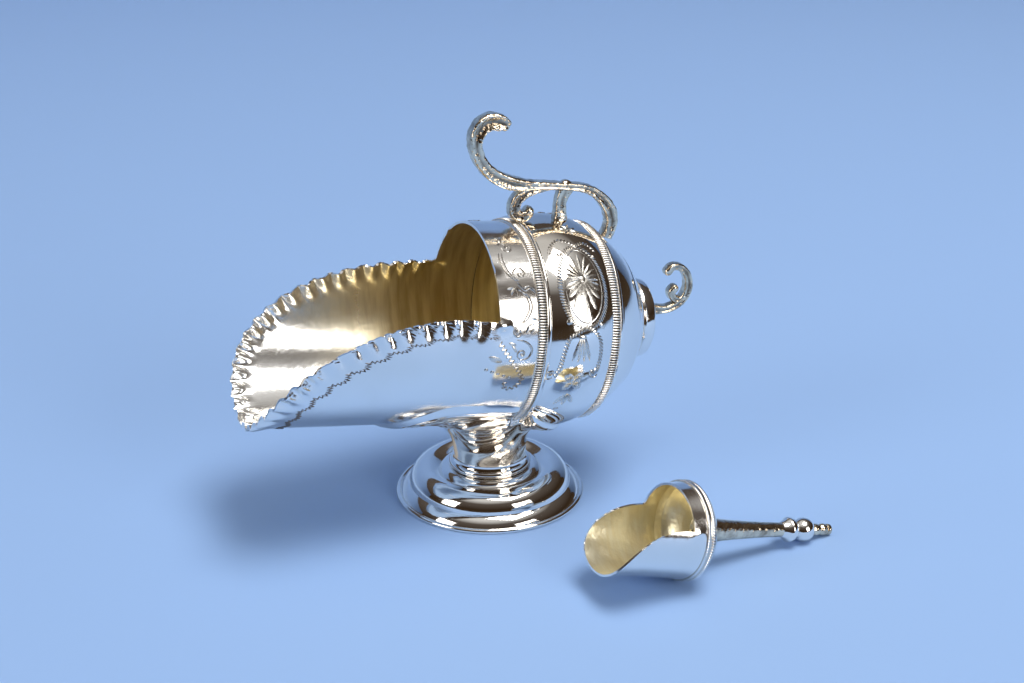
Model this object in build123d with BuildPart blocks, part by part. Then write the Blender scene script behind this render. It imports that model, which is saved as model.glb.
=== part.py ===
"""Silver-plated sugar scuttle with its scoop.

The bowl is a coal-scuttle shape: a round body that lies nearly level on a spun
pedestal foot, with a long open trough at its mouth end, a cast carrying handle
on top and a cast scroll at the tail.  The scoop lies beside it on the table.

Frame: the origin is the centre of the foot's resting face, +Z is up, the mouth
points to -X, the tail to +X, and the bowl is the same on both sides of Y = 0.
All sizes are in millimetres and all angles in degrees.
"""

import math
import os

from build123d import *

# ---------------------------------------------------------------- driving sizes

# The bowl's own axis, about which its spun shells are made
AXIS_HEIGHT = 63.9          # above the table, over the centre of the foot
MOUTH_RISE = 7.0            # how far the mouth end of the axis is tipped up
BOWL_WALL = 1.0             # metal of every spun shell of the bowl

# Stations along the bowl's axis, positive towards the mouth
RING_FRONT = 9.5            # front edge of the closed ring, where the trough begins
MOUTH_JOINT = -6.2          # mouth shell soldered to the barrel shell
BULGE_STATION = -18.4       # widest place of the barrel
BARREL_END = -31.3          # barrel shell soldered to the rear dome
STEP_END = -34.4            # end of the rear dome's straight step
DOME_START = -35.4          # start of the rear dome's curve
DOME_END = -51.5            # rear dome soldered to the cap
CAP_FACE = -56.7            # flat face of the cap

# Radii about the bowl's axis, to the outside of the metal
MOUTH_RADIUS = 33.7
BARREL_FRONT_RADIUS = 33.9
BULGE_RADIUS = 36.8
BARREL_REAR_RADIUS = 33.2
DOME_GROOVE_RADIUS = 31.2
DOME_END_RADIUS = 14.4
DOME_CURVE = 38.0           # radius of the dome's own curve
CAP_FACE_RADIUS = 12.8

# Trough: its section narrows sideways from the ring to the lip
TROUGH_SETTLE = 26.0        # station where the trough has its own section
TROUGH_END = 86.0           # last section, a little past the lip
TROUGH_HALF_WIDTH = 31.2
TROUGH_END_HALF_WIDTH = 30.6
TROUGH_END_DEPTH = 33.0
LIP_STATION = 83.7          # tip of the lip
LIP_CREST_STATION = 20.0    # where the trough's edge stands highest
LIP_CREST_HEIGHT = 11.6     # above the axis

# Applied wires and bands
BAND_HEIGHT = 1.1           # how far a milled band stands off the shell
FRONT_BAND_START = -3.6
FRONT_BAND_WIDTH = 2.6
FRONT_BEAD_RADIUS = 0.8
REAR_BAND_START = -29.3
REAR_BAND_WIDTH = 4.0

# Foot
FOOT_RADIUS = 33.0          # over the rim wire
FOOT_WALL = 1.0
RIM_WIRE_RADIUS = 0.9
RIM_WIRE_FLAT = 0.2         # how much of the wire is worn flat underneath
FLANGE_RADIUS = 31.3
DOME_BASE_RADIUS = 28.2
DOME_CREST_RADIUS = 21.5
FOOT_GROOVE_RADIUS = 17.6
KNOP_NECK_RADIUS = 13.4
KNOP_RADIUS = 14.3
WAIST_RADIUS = 12.6
WAIST_HEIGHT = 14.8         # foot soldered to the saddle
DOME_BASE_HEIGHT = 4.6
DOME_CREST_HEIGHT = 10.8
FOOT_GROOVE_HEIGHT = 9.1
KNOP_NECK_HEIGHT = 10.5

# Saddle between the foot and the bowl
SADDLE_THICKNESS = 1.3
SADDLE_CENTRE = -9.5
SADDLE_HALF_LENGTH = 34.0
SADDLE_HALF_WIDTH = 28.0
COLLAR_WALL = 1.2

# Castings
HANDLE_WIDTH = 5.4
HANDLE_HEAD_WIDTH = 7.2
TAIL_WIDTH = 4.4
TAIL_BALL_RADIUS = 1.1

# Scoop: stations along its axis are positive towards the blade's tip
SCOOP_PLACE = (35.4, -77.1)     # its beaded band, seen from above
SCOOP_HEADING = 185.1           # direction of its blade, seen from above
SCOOP_ROLL = 7.0                # how far it has rolled on the table
SCOOP_WALL = 0.8
SCOOP_BAND_RADIUS = 15.7        # blade and dome where the band covers them
SCOOP_BEAD_HEIGHT = 0.5
SCOOP_BEAD_WIDTH = 3.0
SCOOP_RING_FRONT = 5.9
BLADE_RADIUS = 14.1
BLADE_TIP = 29.2
BLADE_CREST_STATION = 8.0
BLADE_CREST_HEIGHT = 4.3
SCOOP_DOME_DEPTH = 7.0
SCOOP_DOME_CURVE = 12.0
STEM_ROOT_RADIUS = 4.4
STEM_END_RADIUS = 2.35
STEM_END = -39.6
INNER_KNOP_STATION = -42.9
INNER_KNOP_RADIUS = 4.1
OUTER_KNOP_STATION = -49.1
OUTER_KNOP_RADIUS = 4.0
PEG_RADIUS = 2.0
PEG_END = -60.4

# ------------------------------------------------------------------- placements

rise = math.radians(MOUTH_RISE)
towards_mouth = Vector(-math.cos(rise), 0, math.sin(rise))
bowl_up = Vector(math.sin(rise), 0, math.cos(rise))
bowl_centre = Vector(0, 0, AXIS_HEIGHT)
bowl_axis = Axis(bowl_centre, towards_mouth)
# Side view of the bowl: x along its axis towards the mouth, y away from the axis
bowl_side = Plane(origin=bowl_centre, x_dir=towards_mouth, z_dir=(0, 1, 0))

# Seats of the castings: the barrel's crown and the middle of the cap's face
crown_seat = Plane(
    origin=bowl_centre + towards_mouth * BULGE_STATION + bowl_up * BULGE_RADIUS,
    x_dir=(1, 0, 0),
    z_dir=(0, -1, 0),
)
cap_seat = Plane(
    origin=bowl_centre + towards_mouth * CAP_FACE, x_dir=(1, 0, 0), z_dir=(0, -1, 0)
)

# The scoop rests on its beaded band and on its outer knop, which sets its slope
scoop_belly = SCOOP_BAND_RADIUS + SCOOP_BEAD_HEIGHT
scoop_reach = math.hypot(OUTER_KNOP_STATION, scoop_belly)
slope = math.acos(OUTER_KNOP_RADIUS / scoop_reach) - math.atan2(-OUTER_KNOP_STATION, scoop_belly)
heading = math.radians(SCOOP_HEADING)
towards_tip = Vector(
    math.cos(slope) * math.cos(heading), math.cos(slope) * math.sin(heading), math.sin(slope)
)
scoop_half_band = SCOOP_BEAD_WIDTH / 2
scoop_height = scoop_belly * math.cos(slope) + scoop_half_band * math.sin(slope)
scoop_centre = Vector(*SCOOP_PLACE, scoop_height)
scoop_axis = Axis(scoop_centre, towards_tip)
scoop_level = Plane(
    origin=scoop_centre, x_dir=towards_tip, z_dir=(math.sin(heading), -math.cos(heading), 0)
)
scoop_side = scoop_level.rotated((SCOOP_ROLL, 0, 0))


def across_bowl(station):
    """Plane square to the bowl's axis, with its x up and its y to the bowl's far side."""
    return Plane(origin=bowl_centre + towards_mouth * station, x_dir=bowl_up, z_dir=towards_mouth)


def write(builder, name):
    """Labels a finished piece and writes it to its own file."""
    builder.part.label = name
    export_step(builder.part, f"parts/{name}.step")


# -------------------------------------------------------------- shared outlines


def mouth_volume(inset, mode=Mode.ADD):
    """Fills the mouth from its joint to the lip, drawn in from the outside by inset."""
    with BuildSketch(across_bowl(MOUTH_JOINT)) as ring:
        Circle(MOUTH_RADIUS - inset)
    extrude(ring.sketch, amount=RING_FRONT - MOUTH_JOINT, mode=mode)
    sections = (
        (RING_FRONT, MOUTH_RADIUS, MOUTH_RADIUS),
        (TROUGH_SETTLE, MOUTH_RADIUS, TROUGH_HALF_WIDTH),
        (TROUGH_END, TROUGH_END_DEPTH, TROUGH_END_HALF_WIDTH),
    )
    outlines = []
    for station, depth, half_width in sections:
        with BuildSketch(across_bowl(station)) as outline:
            Ellipse(depth - inset, half_width - inset)
        outlines.append(outline.sketch)
    loft(outlines, mode=mode)


def barrel_arc(inset):
    """Draws the barrel's bulged outline, drawn in from the outside by inset."""
    return ThreePointArc(
        (MOUTH_JOINT, BARREL_FRONT_RADIUS - inset),
        (BULGE_STATION, BULGE_RADIUS - inset),
        (BARREL_END, BARREL_REAR_RADIUS - inset),
    )


def dome_outline():
    """Draws the rear dome's step, groove and curve."""
    Polyline(
        (BARREL_END, BARREL_REAR_RADIUS),
        (STEP_END, BARREL_REAR_RADIUS),
        (DOME_START, DOME_GROOVE_RADIUS),
    )
    RadiusArc((DOME_START, DOME_GROOVE_RADIUS), (DOME_END, DOME_END_RADIUS), -DOME_CURVE)


def barrel_volume(inset):
    """Fills the barrel from its front joint to its rear joint."""
    with BuildSketch(bowl_side) as profile:
        with BuildLine():
            bulge = barrel_arc(inset)
            Polyline(bulge @ 1, (BARREL_END, 0), (MOUTH_JOINT, 0), bulge @ 0)
        make_face()
    revolve(profile.sketch, axis=bowl_axis)


def collar_volume(inset, mode=Mode.ADD):
    """Fills the collar, round at the foot's waist and flaring to an oval inside the bowl."""
    belly_rise = AXIS_HEIGHT - MOUTH_RADIUS - WAIST_HEIGHT
    # Share of the rise to the bowl's belly, and how far the oval has flared by then
    sections = (
        (0.0, 0.0, 0.0),
        (0.32, 0.8, 0.8),
        (0.62, 4.0, 3.4),
        (0.94, 10.0, 7.4),
        (1.36, 17.0, 11.6),
    )
    outlines = []
    for share, longer, wider in sections:
        with BuildSketch(Plane.XY.offset(WAIST_HEIGHT + belly_rise * share)) as outline:
            Ellipse(WAIST_RADIUS + longer - inset, WAIST_RADIUS + wider - inset)
        outlines.append(outline.sketch)
    loft(outlines, mode=mode)


def blade_arc(inset):
    """Draws the scoop blade's outline, drawn in from the outside by inset."""
    return ThreePointArc(
        (0, SCOOP_BAND_RADIUS - inset),
        (SCOOP_RING_FRONT, BLADE_RADIUS + 0.8 - inset),
        (BLADE_TIP + 1, BLADE_RADIUS - inset),
    )


def tapered_strip(stations):
    """Adds a strip that follows its stations (x, z, thickness) to the open sketch."""
    centres = [Vector(x, z) for x, z, _ in stations]
    upper, lower = [], []
    for index, (_, _, thickness) in enumerate(stations):
        before = centres[max(index - 1, 0)]
        after = centres[min(index + 1, len(centres) - 1)]
        along = (after - before).normalized()
        side = Vector(-along.Y, along.X) * (thickness / 2)
        upper.append(centres[index] + side)
        lower.append(centres[index] - side)
    with BuildLine() as outline:
        Spline(*upper)
        Line(upper[-1], lower[-1])
        Spline(*reversed(lower))
        Line(lower[0], upper[0])
    make_face(outline.edges())


# Space that the bowl takes up, against which its castings and saddle are fitted
with BuildPart() as bowl_envelope:
    mouth_volume(0)
    barrel_volume(0)
    with BuildSketch(bowl_side):
        with BuildLine():
            dome_outline()
            Polyline(
                (DOME_END, DOME_END_RADIUS),
                (DOME_END, 0),
                (BARREL_END, 0),
                (BARREL_END, BARREL_REAR_RADIUS),
            )
        make_face()
    revolve(axis=bowl_axis)

# ------------------------------------------------------------------ bowl shells

# Mouth: closed ring and open trough in one piece of metal
with BuildPart() as mouth_shell:
    mouth_volume(0)
    mouth_volume(BOWL_WALL, mode=Mode.SUBTRACT)
    lip_depth = TROUGH_END_DEPTH
    past_lip = TROUGH_END + BOWL_WALL
    above_ring = MOUTH_RADIUS + BOWL_WALL
    lip_length = LIP_STATION - LIP_CREST_STATION
    notch_angle = math.degrees(math.acos((RING_FRONT - LIP_CREST_STATION) / lip_length))
    with BuildSketch(bowl_side):
        with BuildLine():
            edge = EllipticalCenterArc(
                (LIP_CREST_STATION, -lip_depth),
                lip_length,
                LIP_CREST_HEIGHT + lip_depth,
                arc_size=notch_angle,
            )
            Polyline(
                edge @ 1,
                (RING_FRONT, above_ring),
                (past_lip, above_ring),
                (past_lip, -above_ring),
                (LIP_STATION, -above_ring),
                edge @ 0,
            )
        make_face()
    extrude(amount=above_ring, both=True, mode=Mode.SUBTRACT)
write(mouth_shell, "mouth_shell")

# Barrel: the bulged middle of the bowl
with BuildPart() as barrel_shell:
    with BuildSketch(bowl_side):
        with BuildLine():
            outside = barrel_arc(0)
            inside = barrel_arc(BOWL_WALL)
            Line(outside @ 0, inside @ 0)
            Line(outside @ 1, inside @ 1)
        make_face()
    revolve(axis=bowl_axis)
write(barrel_shell, "barrel_shell")

# Rear dome: a straight step, a groove and a spun dome
with BuildPart() as rear_dome:
    with BuildSketch(bowl_side):
        with BuildLine():
            dome_outline()
            offset(amount=BOWL_WALL, side=Side.LEFT)
        make_face()
    revolve(axis=bowl_axis)
write(rear_dome, "rear_dome")

# Cap: closes the rear dome and carries the tail scroll
with BuildPart() as rear_cap:
    cap_turn = (DOME_END + CAP_FACE) / 2
    with BuildSketch(bowl_side):
        with BuildLine():
            Line((DOME_END, DOME_END_RADIUS), (cap_turn, DOME_END_RADIUS))
            TangentArc((cap_turn, DOME_END_RADIUS), (CAP_FACE, CAP_FACE_RADIUS), tangent=(-1, 0))
            Line((CAP_FACE, CAP_FACE_RADIUS), (CAP_FACE, 0))
            offset(amount=BOWL_WALL, side=Side.LEFT)
        make_face()
    revolve(axis=bowl_axis)
write(rear_cap, "rear_cap")

# -------------------------------------------------------------- bands and wires

# Front band: a milled strip over the mouth shell, just ahead of the joint
with BuildPart() as front_band:
    band_middle = FRONT_BAND_START - FRONT_BAND_WIDTH / 2
    with BuildSketch(bowl_side):
        with Locations((band_middle, MOUTH_RADIUS + BAND_HEIGHT / 2)):
            Rectangle(FRONT_BAND_WIDTH, BAND_HEIGHT)
    revolve(axis=bowl_axis)
    fillet(front_band.edges().group_by(SortBy.LENGTH)[-1], BAND_HEIGHT / 4)
write(front_band, "front_band")

# Front bead: a plain round wire behind the milled strip
with BuildPart() as front_bead:
    bead_station = FRONT_BAND_START - FRONT_BAND_WIDTH - FRONT_BEAD_RADIUS
    with BuildSketch(bowl_side):
        with Locations((bead_station, BARREL_FRONT_RADIUS + FRONT_BEAD_RADIUS)):
            Circle(FRONT_BEAD_RADIUS)
    revolve(axis=bowl_axis)
    add(bowl_envelope.part, mode=Mode.SUBTRACT)
write(front_bead, "front_bead")

# Rear band: a wider milled strip over the joint of barrel and dome
with BuildPart() as rear_band:
    band_middle = REAR_BAND_START - REAR_BAND_WIDTH / 2
    with BuildSketch(bowl_side):
        with Locations((band_middle, BARREL_REAR_RADIUS + BAND_HEIGHT / 2)):
            Rectangle(REAR_BAND_WIDTH, BAND_HEIGHT)
    revolve(axis=bowl_axis)
    fillet(rear_band.edges().group_by(SortBy.LENGTH)[-1], BAND_HEIGHT / 4)
    add(bowl_envelope.part, mode=Mode.SUBTRACT)
write(rear_band, "rear_band")

# --------------------------------------------------------------------- pedestal

# Foot: one spun shell, from its flange up to the waist
with BuildPart() as foot:
    flange_edge = (FLANGE_RADIUS, RIM_WIRE_RADIUS)
    dome_base = (DOME_BASE_RADIUS, DOME_BASE_HEIGHT)
    dome_crest = (DOME_CREST_RADIUS, DOME_CREST_HEIGHT)
    groove = (FOOT_GROOVE_RADIUS, FOOT_GROOVE_HEIGHT)
    cushion_top = (KNOP_NECK_RADIUS, KNOP_NECK_HEIGHT)
    knop_top = (WAIST_RADIUS + 0.4, WAIST_HEIGHT - 1.6)
    with BuildSketch(Plane.XZ):
        with BuildLine():
            RadiusArc(flange_edge, dome_base, -7.0)
            RadiusArc(dome_base, dome_crest, -6.6)
            RadiusArc(dome_crest, groove, -9.0)
            RadiusArc(groove, cushion_top, -3.6)
            ThreePointArc(cushion_top, (KNOP_RADIUS, (cushion_top[1] + knop_top[1]) / 2), knop_top)
            Line(knop_top, (WAIST_RADIUS, WAIST_HEIGHT))
            offset(amount=FOOT_WALL, side=Side.LEFT)
        make_face()
    revolve(axis=Axis.Z)
write(foot, "foot")

# Rim wire: a round wire soldered round the flange, worn flat where it rests
with BuildPart() as foot_rim_wire:
    wire_height = RIM_WIRE_RADIUS - RIM_WIRE_FLAT
    with BuildSketch(Plane.XZ):
        with Locations((FOOT_RADIUS - RIM_WIRE_RADIUS, wire_height)):
            Circle(RIM_WIRE_RADIUS)
        with Locations((FOOT_RADIUS - RIM_WIRE_RADIUS, -RIM_WIRE_RADIUS)):
            Rectangle(4 * RIM_WIRE_RADIUS, 2 * RIM_WIRE_RADIUS, mode=Mode.SUBTRACT)
    revolve(axis=Axis.Z)
    add(foot.part, mode=Mode.SUBTRACT)
write(foot_rim_wire, "foot_rim_wire")

# Saddle: a flared collar on the foot's waist and an oval apron under the bowl
with BuildPart() as apron:
    mouth_volume(-SADDLE_THICKNESS)
    barrel_volume(-SADDLE_THICKNESS)
    with BuildSketch(Plane.XY):
        with Locations((SADDLE_CENTRE, 0)):
            Ellipse(SADDLE_HALF_LENGTH, SADDLE_HALF_WIDTH)
    extrude(amount=AXIS_HEIGHT - 6, mode=Mode.INTERSECT)

with BuildPart() as foot_saddle:
    collar_volume(0)
    collar_volume(COLLAR_WALL, mode=Mode.SUBTRACT)
    add(apron.part)
    for neighbour in (bowl_envelope, front_band, front_bead, rear_band):
        add(neighbour.part, mode=Mode.SUBTRACT)
write(foot_saddle, "foot_saddle")

# --------------------------------------------------------------------- castings

# Carrying handle: one cast strap with a curled leaf head, standing on three feet
with BuildPart() as carrying_handle:
    with BuildSketch(crown_seat):
        tapered_strip((
            (-27.3, 30.2, 4.4),
            (-27.0, 26.2, 4.4),
            (-25.3, 21.2, 4.2),
            (-21.5, 17.1, 4.0),
            (-16.7, 14.3, 3.8),
            (-10.7, 12.5, 3.2),
            (-2.7, 11.2, 2.7),
            (5.3, 10.0, 2.7),
            (11.8, 8.5, 3.0),
            (17.1, 5.3, 3.8),
            (20.8, 0.4, 4.6),
            (21.6, -4.8, 4.4),
            (19.4, -9.6, 4.0),
        ))
        tapered_strip((
            (-8.6, 12.0, 2.6),
            (-11.8, 9.6, 3.6),
            (-13.6, 5.4, 4.2),
            (-13.5, 1.4, 4.2),
            (-10.8, -2.2, 4.2),
        ))
        tapered_strip((
            (3.9, 10.8, 4.6),
            (2.7, 5.8, 4.2),
            (2.5, -0.8, 4.4),
        ))
    extrude(amount=HANDLE_WIDTH / 2, both=True)
    with BuildSketch(crown_seat):
        tapered_strip((
            (-15.4, 32.9, 2.6),
            (-18.2, 34.8, 4.6),
            (-22.2, 35.2, 5.2),
            (-26.0, 33.4, 5.0),
            (-27.3, 29.8, 4.6),
            (-27.1, 27.2, 4.4),
        ))
    extrude(amount=HANDLE_HEAD_WIDTH / 2, both=True)
    for neighbour in (bowl_envelope, front_band, front_bead, rear_band):
        add(neighbour.part, mode=Mode.SUBTRACT)
write(carrying_handle, "carrying_handle")

# Tail scroll: a cast C with its lower end curled in, on a short arm
with BuildPart() as tail_scroll:
    with BuildSketch(cap_seat):
        tapered_strip((
            (-1.3, 3.8, 4.4),
            (2.7, 3.2, 4.0),
            (6.7, 2.2, 3.4),
            (10.7, 1.9, 3.0),
            (14.7, 3.2, 3.0),
            (17.7, 6.2, 3.2),
            (18.7, 10.0, 3.0),
            (17.8, 14.0, 2.8),
            (15.3, 16.8, 2.6),
            (12.3, 17.3, 2.4),
            (10.3, 15.6, 2.6),
        ))
        tapered_strip((
            (16.3, 4.8, 2.4),
            (13.7, 5.2, 2.6),
            (12.1, 7.2, 2.8),
            (13.3, 8.8, 2.4),
        ))
    extrude(amount=TAIL_WIDTH / 2, both=True)
    with BuildSketch(cap_seat):
        Polygon((-1.3, 3.0), (8.7, 1.4), (-1.3, -4.4), align=None)
    extrude(amount=TAIL_WIDTH / 4, both=True)
    behind_cap = 20.0
    with BuildSketch(across_bowl(CAP_FACE)):
        Circle(behind_cap)
    extrude(amount=behind_cap, mode=Mode.SUBTRACT)
write(tail_scroll, "tail_scroll")

# Tail ball: a small bead on the cap, above the scroll
with BuildPart() as tail_ball:
    ball_rise = CAP_FACE_RADIUS - 2 * TAIL_BALL_RADIUS
    ball_seat = bowl_centre + towards_mouth * CAP_FACE + bowl_up * ball_rise
    with Locations(ball_seat - towards_mouth * (TAIL_BALL_RADIUS * 0.8)):
        Sphere(TAIL_BALL_RADIUS)
    with BuildSketch(across_bowl(CAP_FACE)):
        Circle(behind_cap)
    extrude(amount=behind_cap, mode=Mode.SUBTRACT)
write(tail_ball, "tail_ball")

# ------------------------------------------------------------------------ scoop

# Blade: a short closed ring that opens into a rounded shovel
with BuildPart() as scoop_blade:
    with BuildSketch(scoop_level):
        with BuildLine():
            outside = blade_arc(0)
            inside = blade_arc(SCOOP_WALL)
            Line(outside @ 0, inside @ 0)
            Line(outside @ 1, inside @ 1)
        make_face()
    revolve(axis=scoop_axis)
    past_tip = BLADE_TIP + 4
    above_blade = SCOOP_BAND_RADIUS + 4
    blade_length = BLADE_TIP - BLADE_CREST_STATION
    notch_angle = math.degrees(math.acos((SCOOP_RING_FRONT - BLADE_CREST_STATION) / blade_length))
    with BuildSketch(scoop_side):
        with BuildLine():
            edge = EllipticalCenterArc(
                (BLADE_CREST_STATION, -BLADE_RADIUS),
                blade_length,
                BLADE_CREST_HEIGHT + BLADE_RADIUS,
                arc_size=notch_angle,
            )
            Polyline(
                edge @ 1,
                (SCOOP_RING_FRONT, above_blade),
                (past_tip, above_blade),
                (past_tip, -above_blade),
                (BLADE_TIP, -above_blade),
                edge @ 0,
            )
        make_face()
    extrude(amount=above_blade, both=True, mode=Mode.SUBTRACT)
write(scoop_blade, "scoop_blade")

# Dome: closes the back of the blade and runs down to the stem
with BuildPart() as scoop_dome:
    with BuildSketch(scoop_level):
        with BuildLine():
            plate_face = SCOOP_WALL - SCOOP_DOME_DEPTH
            RadiusArc(
                (0, SCOOP_BAND_RADIUS), (-SCOOP_DOME_DEPTH, STEM_ROOT_RADIUS), -SCOOP_DOME_CURVE
            )
            Polyline(
                (-SCOOP_DOME_DEPTH, STEM_ROOT_RADIUS),
                (-SCOOP_DOME_DEPTH, 0),
                (plate_face, 0),
                (plate_face, STEM_ROOT_RADIUS),
            )
            RadiusArc(
                (plate_face, STEM_ROOT_RADIUS),
                (0, SCOOP_BAND_RADIUS - SCOOP_WALL),
                SCOOP_DOME_CURVE - SCOOP_WALL,
            )
            Line((0, SCOOP_BAND_RADIUS - SCOOP_WALL), (0, SCOOP_BAND_RADIUS))
        make_face()
    revolve(axis=scoop_axis)
write(scoop_dome, "scoop_dome")

# Beaded band: covers the joint of blade and dome
with BuildPart() as scoop_bead_band:
    with BuildSketch(scoop_level):
        with Locations((0, SCOOP_BAND_RADIUS)):
            Rectangle(SCOOP_BEAD_WIDTH, 2 * SCOOP_BEAD_HEIGHT)
    revolve(axis=scoop_axis)
    add(scoop_blade.part, mode=Mode.SUBTRACT)
    add(scoop_dome.part, mode=Mode.SUBTRACT)
write(scoop_bead_band, "scoop_bead_band")

# Collar: a small ring round the root of the stem
with BuildPart() as scoop_collar:
    collar_length = 1.2
    with BuildSketch(scoop_level):
        with BuildLine():
            Polyline(
                (-SCOOP_DOME_DEPTH, 0),
                (-SCOOP_DOME_DEPTH, STEM_ROOT_RADIUS + 0.6),
                (-SCOOP_DOME_DEPTH - collar_length, STEM_ROOT_RADIUS + 0.1),
                (-SCOOP_DOME_DEPTH - collar_length, 0),
                close=True,
            )
        make_face()
    revolve(axis=scoop_axis)
    add(scoop_dome.part, mode=Mode.SUBTRACT)
write(scoop_collar, "scoop_collar")

# Stem: tapers from the collar to the knops
with BuildPart() as scoop_stem:
    stem_start = -SCOOP_DOME_DEPTH - collar_length
    with BuildSketch(scoop_level):
        with BuildLine():
            taper = Spline(
                (stem_start, STEM_ROOT_RADIUS),
                (stem_start * 0.6 + STEM_END * 0.4, STEM_END_RADIUS + 0.75),
                (STEM_END, STEM_END_RADIUS),
            )
            Polyline(taper @ 1, (STEM_END, 0), (stem_start, 0), taper @ 0)
        make_face()
    revolve(axis=scoop_axis)
write(scoop_stem, "scoop_stem")

# Inner knop: cone in front, rounded behind
with BuildPart() as scoop_knop_inner:
    knop_split = (INNER_KNOP_STATION + OUTER_KNOP_STATION) / 2
    with BuildSketch(scoop_level):
        with BuildLine():
            cone = Line((STEM_END, STEM_END_RADIUS), (INNER_KNOP_STATION + 0.6, INNER_KNOP_RADIUS))
            back = Spline(cone @ 1, (INNER_KNOP_STATION - 1.2, INNER_KNOP_RADIUS), (knop_split, STEM_END_RADIUS))
            Polyline(back @ 1, (knop_split, 0), (STEM_END, 0), cone @ 0)
        make_face()
    revolve(axis=scoop_axis)
write(scoop_knop_inner, "scoop_knop_inner")

# Outer knop: a ball on a short neck
with BuildPart() as scoop_knop_outer:
    with Locations(scoop_centre + towards_tip * OUTER_KNOP_STATION):
        Sphere(OUTER_KNOP_RADIUS)
    with BuildSketch(Plane(scoop_centre + towards_tip * knop_split, z_dir=towards_tip)):
        Circle(2 * OUTER_KNOP_RADIUS)
    extrude(amount=2 * OUTER_KNOP_RADIUS, mode=Mode.SUBTRACT)
write(scoop_knop_outer, "scoop_knop_outer")

# Peg: the plain end that slips into a holder
with BuildPart() as scoop_peg:
    with BuildSketch(Plane(scoop_centre + towards_tip * PEG_END, z_dir=towards_tip)):
        Circle(PEG_RADIUS)
    extrude(amount=OUTER_KNOP_STATION - PEG_END)
    add(scoop_knop_outer.part, mode=Mode.SUBTRACT)
    fillet(scoop_peg.edges().sort_by(scoop_axis)[0], PEG_RADIUS / 3)
write(scoop_peg, "scoop_peg")
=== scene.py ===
"""Looks of the silver-plated sugar scuttle and its scoop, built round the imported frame.

Every finished piece lies at its place in the shared frame: the origin is the centre
of the foot's resting face, +Z is up and the open mouth points to -X.  Sizes are
written in millimetres and turned into metres where a mesh is made.
"""

import logging
import math
from dataclasses import dataclass, field
from enum import Enum
from typing import Callable, Iterable, Optional, Sequence

import bmesh
import bpy
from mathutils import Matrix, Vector, noise
from mathutils.kdtree import KDTree


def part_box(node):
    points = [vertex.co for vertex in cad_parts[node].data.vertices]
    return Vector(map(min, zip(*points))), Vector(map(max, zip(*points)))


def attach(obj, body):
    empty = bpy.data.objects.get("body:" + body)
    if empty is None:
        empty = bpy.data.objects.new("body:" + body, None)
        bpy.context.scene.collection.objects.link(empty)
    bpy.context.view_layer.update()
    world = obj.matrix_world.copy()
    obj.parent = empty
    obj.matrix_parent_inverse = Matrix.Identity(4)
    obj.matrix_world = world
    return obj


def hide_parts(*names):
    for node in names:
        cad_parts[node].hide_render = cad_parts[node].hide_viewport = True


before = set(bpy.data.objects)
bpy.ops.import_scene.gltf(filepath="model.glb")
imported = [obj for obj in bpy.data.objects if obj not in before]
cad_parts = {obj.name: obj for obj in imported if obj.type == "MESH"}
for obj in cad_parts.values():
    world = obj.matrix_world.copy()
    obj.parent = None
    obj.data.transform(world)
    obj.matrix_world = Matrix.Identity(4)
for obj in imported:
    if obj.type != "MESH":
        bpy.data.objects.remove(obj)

LOG = logging.getLogger("sugar_scuttle")
MM = 0.001
NOISE_SEED = 7
UPRIGHT = Vector((0.0, 0.0, 1.0))

Colour = tuple[float, float, float]
Pair = tuple[float, float]
Surface = Callable[[float, float, float], Vector]


class Slot(Enum):
    """The record's material slots."""

    ENGRAVED = "silver_engraved"
    POLISHED = "silver_polished"
    MILLED = "silver_milled"
    CAST = "silver_cast"
    SCOOP = "scoop_silver"


class Body(Enum):
    """The frame's moving bodies."""

    BOWL = "bowl"
    SCOOP = "scoop"


# ------------------------------------------------------------------ small geometry


def smooth_step(low: float, high: float, value: float) -> float:
    """Rises smoothly from 0 at low to 1 at high.

    Args:
        low: where the rise begins.
        high: where the rise ends.
        value: the place asked for.

    Returns:
        A share from 0 to 1.
    """
    share = min(max((value - low) / (high - low), 0.0), 1.0)
    return share * share * (3.0 - 2.0 * share)


def soft_lower(first: float, second: float, blend: float) -> float:
    """Takes the lower of two heights, with a fillet where they cross.

    Args:
        first: one height.
        second: the other height.
        blend: how wide the fillet is.

    Returns:
        The blended height.
    """
    share = min(max(0.5 + 0.5 * (second - first) / blend, 0.0), 1.0)
    return second + (first - second) * share - blend * share * (1.0 - share)


def smooth_path(points: Sequence[Sequence[float]], steps: int) -> list[list[float]]:
    """Passes a Catmull-Rom curve through points of any number of values.

    Args:
        points: the places that the curve passes through.
        steps: how many pieces each stretch is cut into.

    Returns:
        The points along the curve.
    """
    ends = [points[0], *points, points[-1]]
    path = []
    for a, b, c, d in zip(ends, ends[1:], ends[2:], ends[3:]):
        for step in range(steps):
            t = step / steps
            path.append([
                0.5 * (
                    2 * q + (r - p) * t + (2 * p - 5 * q + 4 * r - s) * t**2 + (3 * q - p - 3 * r + s) * t**3
                )
                for p, q, r, s in zip(a, b, c, d)
            ])
    path.append(list(points[-1]))
    return path


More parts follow.
